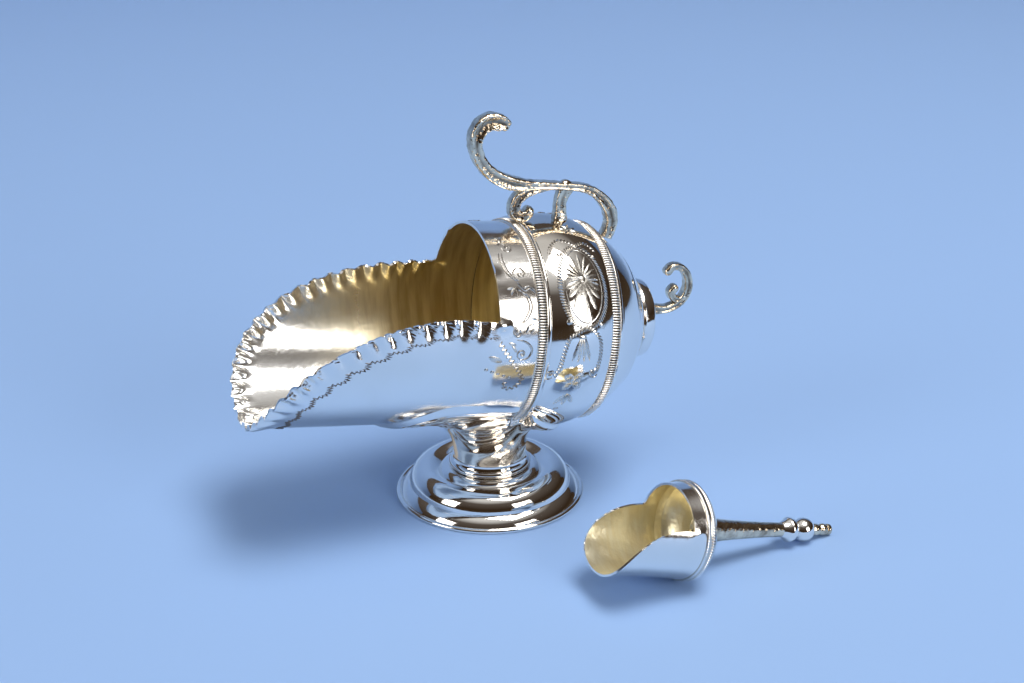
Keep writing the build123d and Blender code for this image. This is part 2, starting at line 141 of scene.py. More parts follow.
def arc(start: Pair, end: Pair, bulge: float, steps: int = 10) -> list[Pair]:
    """Draws an arc of a circle between two outline points.

    Args:
        start: first point, as station and radius.
        end: last point.
        bulge: height of the arc over its chord, positive to the left of the way it runs.
        steps: how many straight pieces it is cut into.

    Returns:
        The points of the arc, both ends included.
    """
    chord = math.dist(start, end)
    if abs(bulge) < 1e-6:
        return [start, end]
    radius = (chord**2 / 4 + bulge**2) / (2 * abs(bulge))
    sign = math.copysign(1.0, bulge)
    along = ((end[0] - start[0]) / chord, (end[1] - start[1]) / chord)
    left = (-along[1] * sign, along[0] * sign)
    half = math.asin(min(1.0, chord / 2 / radius))
    if abs(bulge) > radius:
        half = math.pi - half
    points = []
    for step in range(steps + 1):
        turn = -half + 2 * half * step / steps
        run = chord / 2 + radius * math.sin(turn)
        lift = radius * math.cos(turn) - radius + abs(bulge)
        points.append((
            start[0] + along[0] * run + left[0] * lift, start[1] + along[1] * run + left[1] * lift
        ))
    return points


def circle_through(first: Pair, second: Pair, third: Pair) -> Callable[[float], float]:
    """Gives the height of the circle's upper half through three points, by station."""
    (ax, ay), (bx, by), (cx, cy) = first, second, third
    twice = 2 * (ax * (by - cy) + bx * (cy - ay) + cx * (ay - by))
    squares = (ax * ax + ay * ay, bx * bx + by * by, cx * cx + cy * cy)
    centre_x = (squares[0] * (by - cy) + squares[1] * (cy - ay) + squares[2] * (ay - by)) / twice
    centre_y = (squares[0] * (cx - bx) + squares[1] * (ax - cx) + squares[2] * (bx - ax)) / twice
    radius = math.hypot(ax - centre_x, ay - centre_y)
    sign = math.copysign(1.0, ay - centre_y)

    def height(station: float) -> float:
        """Height of the circle over the axis at a station."""
        return centre_y + sign * math.sqrt(max(radius**2 - (station - centre_x) ** 2, 0.0))

    return height


@dataclass(frozen=True)
class AxisFrame:
    """An axis with an up direction, on which stations, rises and turns are measured."""

    origin: Vector
    along: Vector
    up: Vector

    @property
    def side(self) -> Vector:
        """Direction to the axis's near side."""
        return self.up.cross(self.along)

    def point(self, station: float, rise: float, aside: float) -> Vector:
        """Place of a point given along, above and beside the axis, in metres."""
        return (self.origin + self.along * station + self.up * rise + self.side * aside) * MM

    def around(self, station: float, radius: float, angle: float) -> Vector:
        """Place of a point on a circle round the axis, with angle 0 at its top, in metres."""
        return self.point(station, radius * math.cos(angle), radius * math.sin(angle))

    def measure(self, place: Vector) -> tuple[float, float, float]:
        """Station, radius and angle of a place in metres."""
        arm = place / MM - self.origin
        rise, aside = arm.dot(self.up), arm.dot(self.side)
        return arm.dot(self.along), math.hypot(rise, aside), math.atan2(aside, rise)


# ---------------------------------------------------------------- modelling helpers


def start_fresh() -> None:
    """Leaves edit mode and clears the selection."""
    if bpy.context.object and bpy.context.object.mode != "OBJECT":
        bpy.ops.object.mode_set(mode="OBJECT")
    bpy.ops.object.select_all(action="DESELECT")


def pick(piece: bpy.types.Object) -> None:
    """Makes a piece the only selected one and the active one."""
    start_fresh()
    piece.select_set(True)
    bpy.context.view_layer.objects.active = piece


def apply_modifier(piece: bpy.types.Object, kind: str, **settings: object) -> None:
    """Adds a modifier to a piece, sets it and applies it.

    Args:
        piece: the piece to finish.
        kind: Blender's name of the modifier's type.
        settings: its properties by name.
    """
    pick(piece)
    modifier = piece.modifiers.new(kind.lower(), kind)
    for name, value in settings.items():
        setattr(modifier, name, value)
    bpy.ops.object.modifier_apply(modifier=modifier.name)


def merge_doubles(piece: bpy.types.Object, reach: float = 0.002) -> None:
    """Joins vertices that lie within reach, in millimetres, of each other."""
    pick(piece)
    bpy.ops.object.mode_set(mode="EDIT")
    bpy.ops.mesh.select_all(action="SELECT")
    bpy.ops.mesh.remove_doubles(threshold=reach * MM)
    bpy.ops.mesh.normals_make_consistent(inside=False)
    bpy.ops.object.mode_set(mode="OBJECT")


def face_away(piece: bpy.types.Object, axis: AxisFrame) -> None:
    """Turns a piece's faces so that most of them look away from an axis."""
    outward = 0.0
    for face in piece.data.polygons:
        station, _, _ = axis.measure(face.center)
        foot = axis.point(station, 0, 0)
        outward += (face.center - foot).normalized().dot(face.normal) * face.area
    if outward < 0:
        pick(piece)
        bpy.ops.object.mode_set(mode="EDIT")
        bpy.ops.mesh.select_all(action="SELECT")
        bpy.ops.mesh.flip_normals()
        bpy.ops.object.mode_set(mode="OBJECT")


def give_wall(piece: bpy.types.Object, wall: float, even: bool = True) -> None:
    """Thickens a shell inwards by wall millimetres; its inner face takes the second finish."""
    for _ in range(2):
        piece.data.materials.append(None)
    apply_modifier(
        piece, "SOLIDIFY", thickness=wall * MM, offset=-1.0, use_even_offset=even, material_offset=1
    )


def lathe(
    name: str,
    axis: AxisFrame,
    outline: Sequence[Pair],
    steps: int = 144,
    wall: float = 0.0,
) -> bpy.types.Object:
    """Spins an outline of stations and radii round an axis.

    Args:
        name: the piece's name.
        axis: what it is spun about.
        outline: its outer outline in millimetres; a closed one ends where it starts.
        steps: how many steps the full turn has.
        wall: thickness given to an open outline, towards its inside.

    Returns:
        The new piece.
    """
    start_fresh()
    points = [axis.around(station, radius, 0.0) for station, radius in outline]
    bpy.ops.mesh.primitive_plane_add(size=MM, location=points[0])
    piece = bpy.context.object
    bpy.ops.object.transform_apply(location=True, rotation=True, scale=True)
    bpy.ops.object.mode_set(mode="EDIT")
    bpy.ops.mesh.select_all(action="SELECT")
    bpy.ops.mesh.merge(type="CENTER")
    for before, after in zip(points, points[1:]):
        bpy.ops.mesh.extrude_region_move(TRANSFORM_OT_translate={"value": after - before})
    bpy.ops.mesh.select_all(action="SELECT")
    bpy.ops.mesh.spin(steps=steps, angle=math.tau, center=axis.origin * MM, axis=axis.along)
    bpy.ops.object.mode_set(mode="OBJECT")
    piece.name = name
    merge_doubles(piece)
    face_away(piece, axis)
    if wall:
        give_wall(piece, wall)
    return piece


def shaped_grid(
    name: str, columns: int, rows: int, place: Callable[[float, float], Vector]
) -> bpy.types.Object:
    """Adds a flat grid and gives every crossing its place.

    Args:
        name: the piece's name.
        columns: crossings along the grid.
        rows: crossings across it.
        place: gives the place of a crossing from its two shares, from 0 to 1.

    Returns:
        The shaped grid.
    """
    start_fresh()
    bpy.ops.mesh.primitive_grid_add(x_subdivisions=columns, y_subdivisions=rows, size=1.0)
    piece = bpy.context.object
    piece.name = name
    for vertex in piece.data.vertices:
        vertex.co = place(vertex.co.x + 0.5, vertex.co.y + 0.5)
    return piece


def loft(name: str, rings: Sequence[Sequence[Vector]]) -> bpy.types.Object:
    """Extrudes a ring of vertices from one section to the next and closes both ends.

    Args:
        name: the piece's name.
        rings: the sections in order, each with as many points.

    Returns:
        The new piece.
    """
    start_fresh()
    bpy.ops.mesh.primitive_circle_add(vertices=len(rings[0]), radius=1.0, fill_type="NGON")
    piece = bpy.context.object
    piece.name = name
    for vertex, place in zip(piece.data.vertices, rings[0]):
        vertex.co = place
    bpy.ops.object.mode_set(mode="EDIT")
    bpy.ops.mesh.select_all(action="SELECT")
    before = rings[0]
    for ring in rings[1:]:
        order = {place.to_tuple(6): index for index, place in enumerate(before)}
        bpy.ops.mesh.extrude_region_move()
        mesh = bmesh.from_edit_mesh(piece.data)
        for vertex in mesh.verts:
            if vertex.select:
                vertex.co = ring[order[vertex.co.to_tuple(6)]]
        before = ring
    bmesh.update_edit_mesh(piece.data)
    bpy.ops.mesh.select_all(action="SELECT")
    bpy.ops.mesh.normals_make_consistent(inside=False)
    bpy.ops.object.mode_set(mode="OBJECT")
    return piece


def join_pieces(pieces: Sequence[bpy.types.Object]) -> bpy.types.Object:
    """Joins pieces into the first of them."""
    start_fresh()
    for piece in pieces:
        piece.select_set(True)
    bpy.context.view_layer.objects.active = pieces[0]
    bpy.ops.object.join()
    return pieces[0]


def store_depth(piece: bpy.types.Object, depths: Sequence[float]) -> None:
    """Stores how deep in a hollow each vertex lies, from 0 to 1, for the finish to darken as tarnish and
    painted shade.
    """
    layer = piece.data.attributes.new("hollow", "FLOAT", "POINT")
    layer.data.foreach_set("value", depths)


def dress(
    piece: bpy.types.Object,
    body: Body,
    slot: Slot,
    finishes: Sequence[bpy.types.Material],
    stands_for: Sequence[str] = (),
    sharp: float = 40.0,
) -> bpy.types.Object:
    """Gives a piece its finish and ties it to the frame.

    Args:
        piece: the finished mesh.
        body: the body it rides on.
        slot: the record's slot; not used.
        finishes: its materials; a walled piece has its inner face's second.
        stands_for: the frame's nodes that it replaces.
        sharp: edges steeper than this many degrees stay sharp.

    Returns:
        The same piece.
    """
    pick(piece)
    bpy.ops.object.transform_apply(location=True, rotation=True, scale=True)
    bpy.ops.object.shade_smooth_by_angle(angle=math.radians(sharp))
    piece.data.name = piece.name
    slots = piece.data.materials
    for index, finish in enumerate(finishes):
        if index < len(slots):
            slots[index] = finish
        else:
            slots.append(finish)
    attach(piece, body.value)
    if stands_for:
        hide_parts(*stands_for)
    LOG.info("%s: %d faces", piece.name, len(piece.data.polygons))
    return piece


# ------------------------------------------------------------------------- finishes


@dataclass
class NodeSheet:
    """A material's node tree, with short ways to add and join nodes."""

    material: bpy.types.Material

    def __post_init__(self) -> None:
        """Starts from an empty tree with a shader and an output."""
        self.material.use_nodes = True
        self.tree = self.material.node_tree
        self.tree.nodes.clear()
        self.shader = self.add("ShaderNodeBsdfPrincipled")
        output = self.add("ShaderNodeOutputMaterial")
        self.join(self.shader, "BSDF", output, "Surface")
        self.place = self.add("ShaderNodeTexCoord")

    def add(self, kind: str, **settings: object) -> bpy.types.Node:
        """Adds a node; settings name its sockets or, failing that, its properties."""
        node = self.tree.nodes.new(kind)
        for name, value in settings.items():
            label = name.replace("_", " ")
            if label in node.inputs:
                node.inputs[label].default_value = value
            else:
                setattr(node, name, value)
        return node

    def join(self, source: bpy.types.Node, output: str, target: bpy.types.Node, socket: str | int) -> None:
        """Joins one node's output to another's socket."""
        self.tree.links.new(source.outputs[output], target.inputs[socket])

    def noise(self, scale: float, detail: float, stretch: Colour = (1, 1, 1)) -> bpy.types.Node:
        """Adds noise on the object's own coordinates.

        Args:
            scale: waves to the metre.
            detail: how many finer layers it has.
            stretch: scale of each axis, below 1 for streaks along it.

        Returns:
            The noise node.
        """
        turn = self.add("ShaderNodeMapping")
        turn.inputs["Scale"].default_value = stretch
        self.join(self.place, "Object", turn, "Vector")
        cloud = self.add("ShaderNodeTexNoise", Scale=scale, Detail=detail, Roughness=0.6)
        self.join(turn, "Vector", cloud, "Vector")
        return cloud

    def rise_along(self, axis: str, low: float, high: float) -> bpy.types.Node:
        """Rises from 0 to 1 between two places, in millimetres, on one of the object's axes."""
        split = self.add("ShaderNodeSeparateXYZ")
        self.join(self.place, "Object", split, "Vector")
        rise = self.add("ShaderNodeMapRange", From_Min=low * MM, From_Max=high * MM)
        self.join(split, axis, rise, "Value")
        return rise

    def ramp(self, source: bpy.types.Node, output: str, stops: Sequence[Pair]) -> bpy.types.Node:
        """Turns a value into a grey level through a colour ramp of places and levels."""
        ramp = self.add("ShaderNodeValToRGB")
        elements = ramp.color_ramp.elements
        while len(elements) < len(stops):
            elements.new(0.5)
        for element, (place, level) in zip(elements, stops):
            element.position = place
            element.color = (level, level, level, 1)
        self.join(source, output, ramp, "Fac")
        return ramp

    def blend(self, share: bpy.types.Node, output: str, low: object, high: object) -> bpy.types.Node:
        """Mixes two colours, each a colour or a node whose Color or Result is taken."""
        mix = self.add("ShaderNodeMix", data_type="RGBA")
        self.tree.links.new(share.outputs[output], mix.inputs[0])
        for index, value in ((6, low), (7, high)):
            if isinstance(value, bpy.types.Node):
                source = value.outputs[2] if value.bl_idname == "ShaderNodeMix" else value.outputs["Color"]
                self.tree.links.new(source, mix.inputs[index])
            else:
                mix.inputs[index].default_value = (*value, 1.0)
        return mix

    def colour(self, source: bpy.types.Node) -> None:
        """Sends a mix to the shader's base colour."""
        self.tree.links.new(source.outputs[2], self.shader.inputs["Base Color"])

    def rough(self, source: bpy.types.Node, output: str, low: float, high: float) -> None:
        """Spreads a value between two roughnesses."""
        spread = self.add("ShaderNodeMapRange", From_Min=0.3, From_Max=0.7, To_Min=low, To_Max=high)
        self.join(source, output, spread, "Value")
        self.join(spread, "Result", self.shader, "Roughness")

    def bump(self, layers: Sequence[tuple[bpy.types.Node, str, float, float]]) -> None:
        """Chains bumps of source, output, strength and depth in metres into the normal."""
        before: Optional[bpy.types.Node] = None
        for source, output, strength, depth in layers:
            bump = self.add("ShaderNodeBump", Strength=strength, Distance=depth)
            self.join(source, output, bump, "Height")
            if before:
                self.join(before, "Normal", bump, "Normal")
            before = bump
        if before:
            self.join(before, "Normal", self.shader, "Normal")


@dataclass(frozen=True)
class SilverFinish:
    """Silver plate: bright and faintly uneven with random tarnish patches, and darker in hollows: tarnish
    where polish doesn't reach, and painted shade.
    """

    name: str
    bright: Colour = (0.97, 0.93, 0.87)
    # Colour of the random tarnish patches, and of the painted shade in hollows.
    tarnish_and_shade: Colour = (0.34, 0.27, 0.17)
    tarnish_share: float = 0.10
    smooth: float = 0.03
    dull: float = 0.10
    ripple: float = 0.12
    scratch: float = 0.05
    grain: Colour = (1.0, 1.0, 1.0)
    ripple_scale: float = 55.0
    ripple_depth: float = 0.0012
    patch_scale: float = 38.0
    # Painted reflection: heights in millimetres above which the finish browns, for the dark room seen in the
    # top.
    top_reflection: Optional[Pair] = None
    top_reflection_tint: Colour = (0.42, 0.30, 0.16)
    metal: float = 1.0

    def make(self) -> bpy.types.Material:
        """Builds the material."""
        sheet = NodeSheet(bpy.data.materials.new(self.name))
        sheet.shader.inputs["Metallic"].default_value = self.metal
        cloud = sheet.noise(self.patch_scale, 4.0)
        fine = sheet.noise(900.0, 3.0, self.grain)
        wave = sheet.noise(self.ripple_scale, 1.0 if self.ripple_scale < 100 else 3.0)
        patch = sheet.ramp(cloud, "Fac", ((0.45, 0.0), (0.8, self.tarnish_share)))
        clean = sheet.blend(patch, "Color", self.bright, self.tarnish_and_shade)
        # Painted shade: the stored hollow depth darkens channels, rib cuts and bead cuts towards the tarnish
        # colour, for tarnish and for the shade that falls in them.
        hollow = sheet.add("ShaderNodeAttribute", attribute_name="hollow")
        deep = sheet.ramp(hollow, "Fac", ((0.25, 0.0), (0.9, 0.92)))
        tarnish_and_painted_light = sheet.blend(deep, "Color", clean, self.tarnish_and_shade)
        if self.top_reflection:
            tarnish_and_painted_light = self.add_top_reflection(sheet, cloud, tarnish_and_painted_light)
        sheet.colour(tarnish_and_painted_light)
        sheet.rough(fine, "Fac", self.smooth, self.dull)
        sheet.bump(((wave, "Fac", self.ripple, self.ripple_depth), (fine, "Fac", self.scratch, 0.00012)))
        return sheet.material

    def add_top_reflection(self, sheet: NodeSheet, cloud: bpy.types.Node, below: bpy.types.Node) -> bpy.types.Node:
        """Browns the finish above a height: a painted reflection of the dark brown room in the piece's top.

        Args:
            sheet: the material's sheet.
            cloud: noise that breaks the painted reflection up.
            below: the colour so far.

        Returns:
            The hazed colour.
        """
        rise = sheet.rise_along("Z", *self.top_reflection)
        uneven = sheet.add("ShaderNodeMath", operation="MULTIPLY")
        sheet.join(rise, "Result", uneven, 0)
        sheet.join(cloud, "Fac", uneven, 1)
        return sheet.blend(uneven, "Value", below, self.top_reflection_tint)


@dataclass(frozen=True)
class GiltFinish:
    """Worn gilding: brushed olive gold inside, rubbed back to silver towards the lip."""

    name: str
    gold: Colour = (0.90, 0.76, 0.44)
    deep_gold: Colour = (0.66, 0.52, 0.25)
    silver: Colour = (0.86, 0.84, 0.80)
    bare_from: float = -62.0
    gilt_from: float = -22.0
    smooth: float = 0.15
    dull: float = 0.34
    metal: float = 0.85
    unevenness: float = 0.2

    def make(self) -> bpy.types.Material:
        """Builds the material."""
        sheet = NodeSheet(bpy.data.materials.new(self.name))
        sheet.shader.inputs["Metallic"].default_value = self.metal
        cloud = sheet.noise(45.0, 5.0)
        streak = sheet.noise(420.0, 3.0, (1.0, 0.12, 0.12))
        tone = sheet.ramp(streak, "Fac", ((0.35, 0.0), (0.65, 1.0)))
        gold = sheet.blend(tone, "Color", self.gold, self.deep_gold)
        worn = sheet.rise_along("X", self.bare_from, self.gilt_from)
        uneven = sheet.add("ShaderNodeMath", operation="MULTIPLY_ADD")
        uneven.inputs[1].default_value = 0.5
        uneven.inputs[2].default_value = -0.25
        sheet.join(cloud, "Fac", uneven, 0)
        total = sheet.add("ShaderNodeMath", operation="ADD", use_clamp=True)
        sheet.join(worn, "Result", total, 0)
        sheet.join(uneven, "Value", total, 1)
        sheet.colour(sheet.blend(total, "Value", self.silver, gold))
        spread = sheet.add("ShaderNodeMapRange", To_Min=self.smooth, To_Max=self.dull)
        sheet.join(total, "Value", spread, "Value")
        sheet.join(spread, "Result", sheet.shader, "Roughness")
        sheet.bump(((cloud, "Fac", self.unevenness, 0.0012), (streak, "Fac", 0.10, 0.00012)))
        return sheet.material


@dataclass
class Finishes:
    """All finishes, made once."""

    polished: bpy.types.Material = field(init=False)
    sheet: bpy.types.Material = field(init=False)
    milled: bpy.types.Material = field(init=False)
    cast: bpy.types.Material = field(init=False)
    # Painted shadow finish, laid under the cuts.
    cut: bpy.types.Material = field(init=False)
    painted_shade_lines: bpy.types.Material = field(init=False)
    chased: bpy.types.Material = field(init=False)
    spun: bpy.types.Material = field(init=False)
    gilt: bpy.types.Material = field(init=False)
    pale_gilt: bpy.types.Material = field(init=False)
    scoop: bpy.types.Material = field(init=False)

    def __post_init__(self) -> None:
        """Builds every finish."""
        self.polished = SilverFinish("polished_silver").make()
        # Painted reflection: the barrel's finish browns above 90 mm, for the dark room seen in its top.
        self.spun = SilverFinish("spun_silver", top_reflection=(90.0, 101.0)).make()
        self.sheet = SilverFinish(
            "brushed_silver_sheet", smooth=0.10, dull=0.19, scratch=0.14, ripple=0.10, grain=(0.15, 1.0, 1.0)
        ).make()
        self.milled = SilverFinish(
            "milled_silver", bright=(0.95, 0.89, 0.80), tarnish_and_shade=(0.14, 0.09, 0.05), tarnish_share=0.2,
            smooth=0.24, dull=0.36,
        ).make()
        self.cast = SilverFinish(
            "cast_silver", bright=(0.88, 0.75, 0.56), tarnish_and_shade=(0.11, 0.06, 0.028), tarnish_share=0.95,
            smooth=0.06, dull=0.20, ripple=0.7, scratch=0.2, ripple_scale=420.0, ripple_depth=0.0006,
            patch_scale=240.0,
        ).make()
        # Painted shadow: the near-black finish of the flat copies laid under the cuts.
        self.cut = SilverFinish(
            "painted_shadow_silver", bright=(0.22, 0.20, 0.18), tarnish_and_shade=(0.10, 0.08, 0.06), tarnish_share=0.5,
            smooth=0.22, dull=0.40, scratch=0.2, metal=0.85,
        ).make()
        # Painted shade: the festoon's raised wriggle is coloured near black, for the shade in an engraved
        # groove.
        self.painted_shade_lines = SilverFinish(
            "painted_shade_cuts", bright=(0.14, 0.13, 0.13), tarnish_and_shade=(0.05, 0.04, 0.03), tarnish_share=0.4,
            smooth=0.30, dull=0.45, metal=0.5,
        ).make()
        self.chased = SilverFinish(
            "chased_silver", bright=(0.78, 0.74, 0.67), tarnish_and_shade=(0.25, 0.20, 0.14), tarnish_share=0.4,
            smooth=0.20, dull=0.34, scratch=0.3,
        ).make()
        self.gilt = GiltFinish("worn_gilding").make()
        self.pale_gilt = GiltFinish(
            "pale_gilding", gold=(0.93, 0.86, 0.64), deep_gold=(0.84, 0.74, 0.48), silver=(0.90, 0.86, 0.74),
            bare_from=-60.0, gilt_from=10.0, smooth=0.14, dull=0.30, metal=0.8, unevenness=0.8,
        ).make()
        self.scoop = SilverFinish("scoop_silver", smooth=0.08, dull=0.18, scratch=0.12, ripple=0.2).make()


# --------------------------------------------------------------------- shared forms


@dataclass(frozen=True)
class Flutes:
    """The crimped border of a rim: rounded lobes with a pinched dent between each two."""

    pitch: float = 6.0
    wave: float = 0.72
    dent: float = 0.55
    dent_width: float = 1.4
    dent_depth: float = 2.8
    reach: float = 8.0
    scallop: float = 0.6
    unevenness: float = 0.55

    def crimp(self, length: float) -> tuple[float, float]:
        """Distance from the nearest dent at a length along the rim, and how strong that dent is."""
        uneven = length + 0.9 * noise.noise(Vector((length * 0.09, 1.7, 0.3)))
        number = round(uneven / self.pitch)
        strength = 1.0 + self.unevenness * noise.noise(Vector((number * 1.37, 0.4, 2.1)))
        return uneven - number * self.pitch, strength

    def lift(self, length: float, below: float) -> float:
        """How far the border stands out at a length along the rim and a depth below it."""
        away, strength = self.crimp(length)
        fade = 1.0 - smooth_step(0.0, self.reach, below)
        wave = -math.cos(math.tau * away / self.pitch) * self.wave * strength * fade
        pinch = math.exp(-((away / self.dent_width) ** 2) - ((below - 1.3) / self.dent_depth) ** 2)
        return wave - self.dent * strength * pinch + 0.2 * fade

    def trim(self, length: float) -> float:
        """How far the scalloped edge is cut back."""
        away, strength = self.crimp(length)
        return self.scallop * strength * (1.0 - abs(math.sin(math.pi * away / self.pitch)) ** 0.7)


@dataclass
class OpenShell:
    """A closed ring that opens into a trough, as on the bowl's mouth and the scoop's blade."""

    name: str
    axis: AxisFrame
    joint: float
    ring_front: float
    section: Callable[[float], Pair]
    rim_centre: Pair
    rim_half: Pair
    wall: float
    columns: int
    flutes: Optional[Flutes] = None
    bumps: Sequence[tuple[float, float, float, float]] = ()
    rim_rows: int = 15
    wall_rows: int = 16

    def __post_init__(self) -> None:
        """Measures the rim and its length on the near side."""
        self.notch_turn = math.acos((self.ring_front - self.rim_centre[0]) / self.rim_half[0])
        turns = [self.notch_turn * (1 - step / 400) for step in range(401)]
        self.rim = [self.rim_place(turn) for turn in turns]
        points = [self.surface_at(station, angle) for station, angle in self.rim]
        self.lengths = [0.0]
        for before, after in zip(points, points[1:]):
            self.lengths.append(self.lengths[-1] + (after - before).length / MM)
        self.half_length = self.lengths[-1]
        self.notch_angle = self.rim[0][1]
        self.tree = KDTree(2 * len(self.rim))
        for index, (station, angle) in enumerate(self.rim):
            for side, turned in ((0, angle), (1, math.tau - angle)):
                self.tree.insert(self.flat(station, turned), 2 * index + side)
        self.tree.balance()

    def rim_place(self, turn: float) -> Pair:
        """Station and angle of the rim at a turn round its own ellipse."""
        station = self.rim_centre[0] + self.rim_half[0] * math.cos(turn)
        rise = self.rim_centre[1] + self.rim_half[1] * math.sin(turn)
        depth, _ = self.section(station)
        return station, math.acos(max(-1.0, min(1.0, rise / depth)))

    def flat(self, station: float, angle: float) -> Vector:
        """Place on the shell when it is unrolled, with its lowest line as the middle."""
        return Vector((station, (angle - math.pi) * self.section(station)[0], 0.0))

    def border_lift(self, station: float, angle: float) -> float:
        """How far the crimped border stands out at a place."""
        if not self.flutes:
            return 0.0
        _, index, below = self.tree.find(self.flat(station, angle))
        length = self.lengths[index // 2]
        start = 0.25 + 0.75 * smooth_step(0.0, 7.0, length)
        growth = 0.64 + 0.36 * smooth_step(20.0, 75.0, length)
        return self.flutes.lift(length, below) * (start * growth)

    def surface_at(self, station: float, angle: float, lift: float = 0.0) -> Vector:
        """Place on the outer face, or lift above it, in metres."""
        depth, half_width = self.section(station)
        rise, aside = depth * math.cos(angle), half_width * math.sin(angle)
        slope = Vector((rise / depth**2, aside / half_width**2)).normalized() * lift
        return self.axis.point(station, rise + slope.x, aside + slope.y)

    def rim_at(self, share: float) -> tuple[float, float, float]:
        """Station and angle of the rim at a share of its length, and the length from its notch."""
        length = share * 2 * self.half_length
        mirrored = length > self.half_length
        near = 2 * self.half_length - length if mirrored else length
        index = max(1, min(len(self.lengths) - 1, sum(1 for one in self.lengths if one < near)))
        low, high = self.lengths[index - 1], self.lengths[index]
        part = (near - low) / (high - low)
        station = self.rim[index - 1][0] * (1 - part) + self.rim[index][0] * part
        angle = self.rim[index - 1][1] * (1 - part) + self.rim[index][1] * part
        return station, (math.tau - angle if mirrored else angle), near

    def column(self, share: float) -> tuple[Pair, Pair, float, float]:
        """One line from ring to rim: its two ends, its length and the rim's length there."""
        station, angle, near = self.rim_at(share)
        start = (self.ring_front, self.notch_angle + (math.tau - 2 * self.notch_angle) * share)
        run = self.surface_at(station, angle) - self.surface_at(*start)
        return start, (station, angle), run.length / MM, near

    @staticmethod
    def under_rim(start: Pair, end: Pair, run: float, below: float) -> Pair:
        """Station and angle on a line of length run from ring to rim, at a depth below the rim."""
        part = 1.0 if run < 1e-3 else 1.0 - below / run
        return start[0] + (end[0] - start[0]) * part, start[1] + (end[1] - start[1]) * part

    def trough_place(self, share: float, below: float, lift: float = 0.0) -> Vector:
        """Place at a share of the rim and a depth below it, in metres."""
        start, end, run, _ = self.column(share)
        station, angle = self.under_rim(start, end, run, below)
        return self.surface_at(station, angle, lift + self.border_lift(station, angle))

    def trough_grid(self, along: float, across: float) -> Vector:
        """Place of a grid crossing, from the ring at 0 to the rim at 1."""
        start, end, run, near = self.columns_here[round(along * self.columns)]
        zone = min(1.2 * self.flutes.reach if self.flutes else 4.0, 0.6 * run)
        row = across * (self.rim_rows + self.wall_rows)
        if row <= self.wall_rows:
            below = run - (run - zone) * row / self.wall_rows
        else:
            below = zone * (1 - (row - self.wall_rows) / self.rim_rows) ** 1.35
        if self.flutes:
            below = max(below, 0.0) + self.flutes.trim(near) * (1 - below / max(run, 1e-3)) * min(1, run / 8)
        station, angle = self.under_rim(start, end, run, below)
        lift = self.border_lift(station, angle)
        return self.surface_at(station, angle, lift + self.bump_at(station, angle))

    def bump_at(self, station: float, angle: float) -> float:
        """Height of the folded lugs at a place."""
        height = 0.0
        side = math.pi - abs(math.pi - angle % math.tau)
        for centre, arc_length, radius, rise in self.bumps:
            far = math.hypot(station - centre, side * self.section(station)[0] - arc_length) / radius
            height += rise * math.exp(-(far**2))
        return height

    def build(self) -> bpy.types.Object:
        """Models the ring and the trough, joins them and gives them their wall."""
        self.columns_here = [self.column(step / self.columns) for step in range(self.columns + 1)]
        trough = shaped_grid(self.name, self.columns, self.rim_rows + self.wall_rows, self.trough_grid)
        lower = [column[0][1] for column in self.columns_here]
        top_steps = 96
        top = [-self.notch_angle + 2 * self.notch_angle * step / top_steps for step in range(1, top_steps)]
        angles = [*lower, *(turn + math.tau for turn in top), lower[0] + math.tau]
        ring_rows = 10

        def ring_place(along: float, across: float) -> Vector:
            """Place of a crossing on the closed ring."""
            station = self.joint + (self.ring_front - self.joint) * across
            angle = angles[round(along * (len(angles) - 1))]
            return self.surface_at(station, angle, self.bump_at(station, angle))

        ring = shaped_grid(self.name + "_ring", len(angles) - 1, ring_rows, ring_place)
        piece = join_pieces((trough, ring))
        merge_doubles(piece, 0.004)
        face_away(piece, self.axis)
        give_wall(piece, self.wall, even=False)
        return piece


@dataclass(frozen=True)
class Station:
    """One place along a casting: where it is, how thick, how wide and how deeply channelled."""

    x: float
    z: float
    thick: float
    wide: float
    channel: float = 0.2


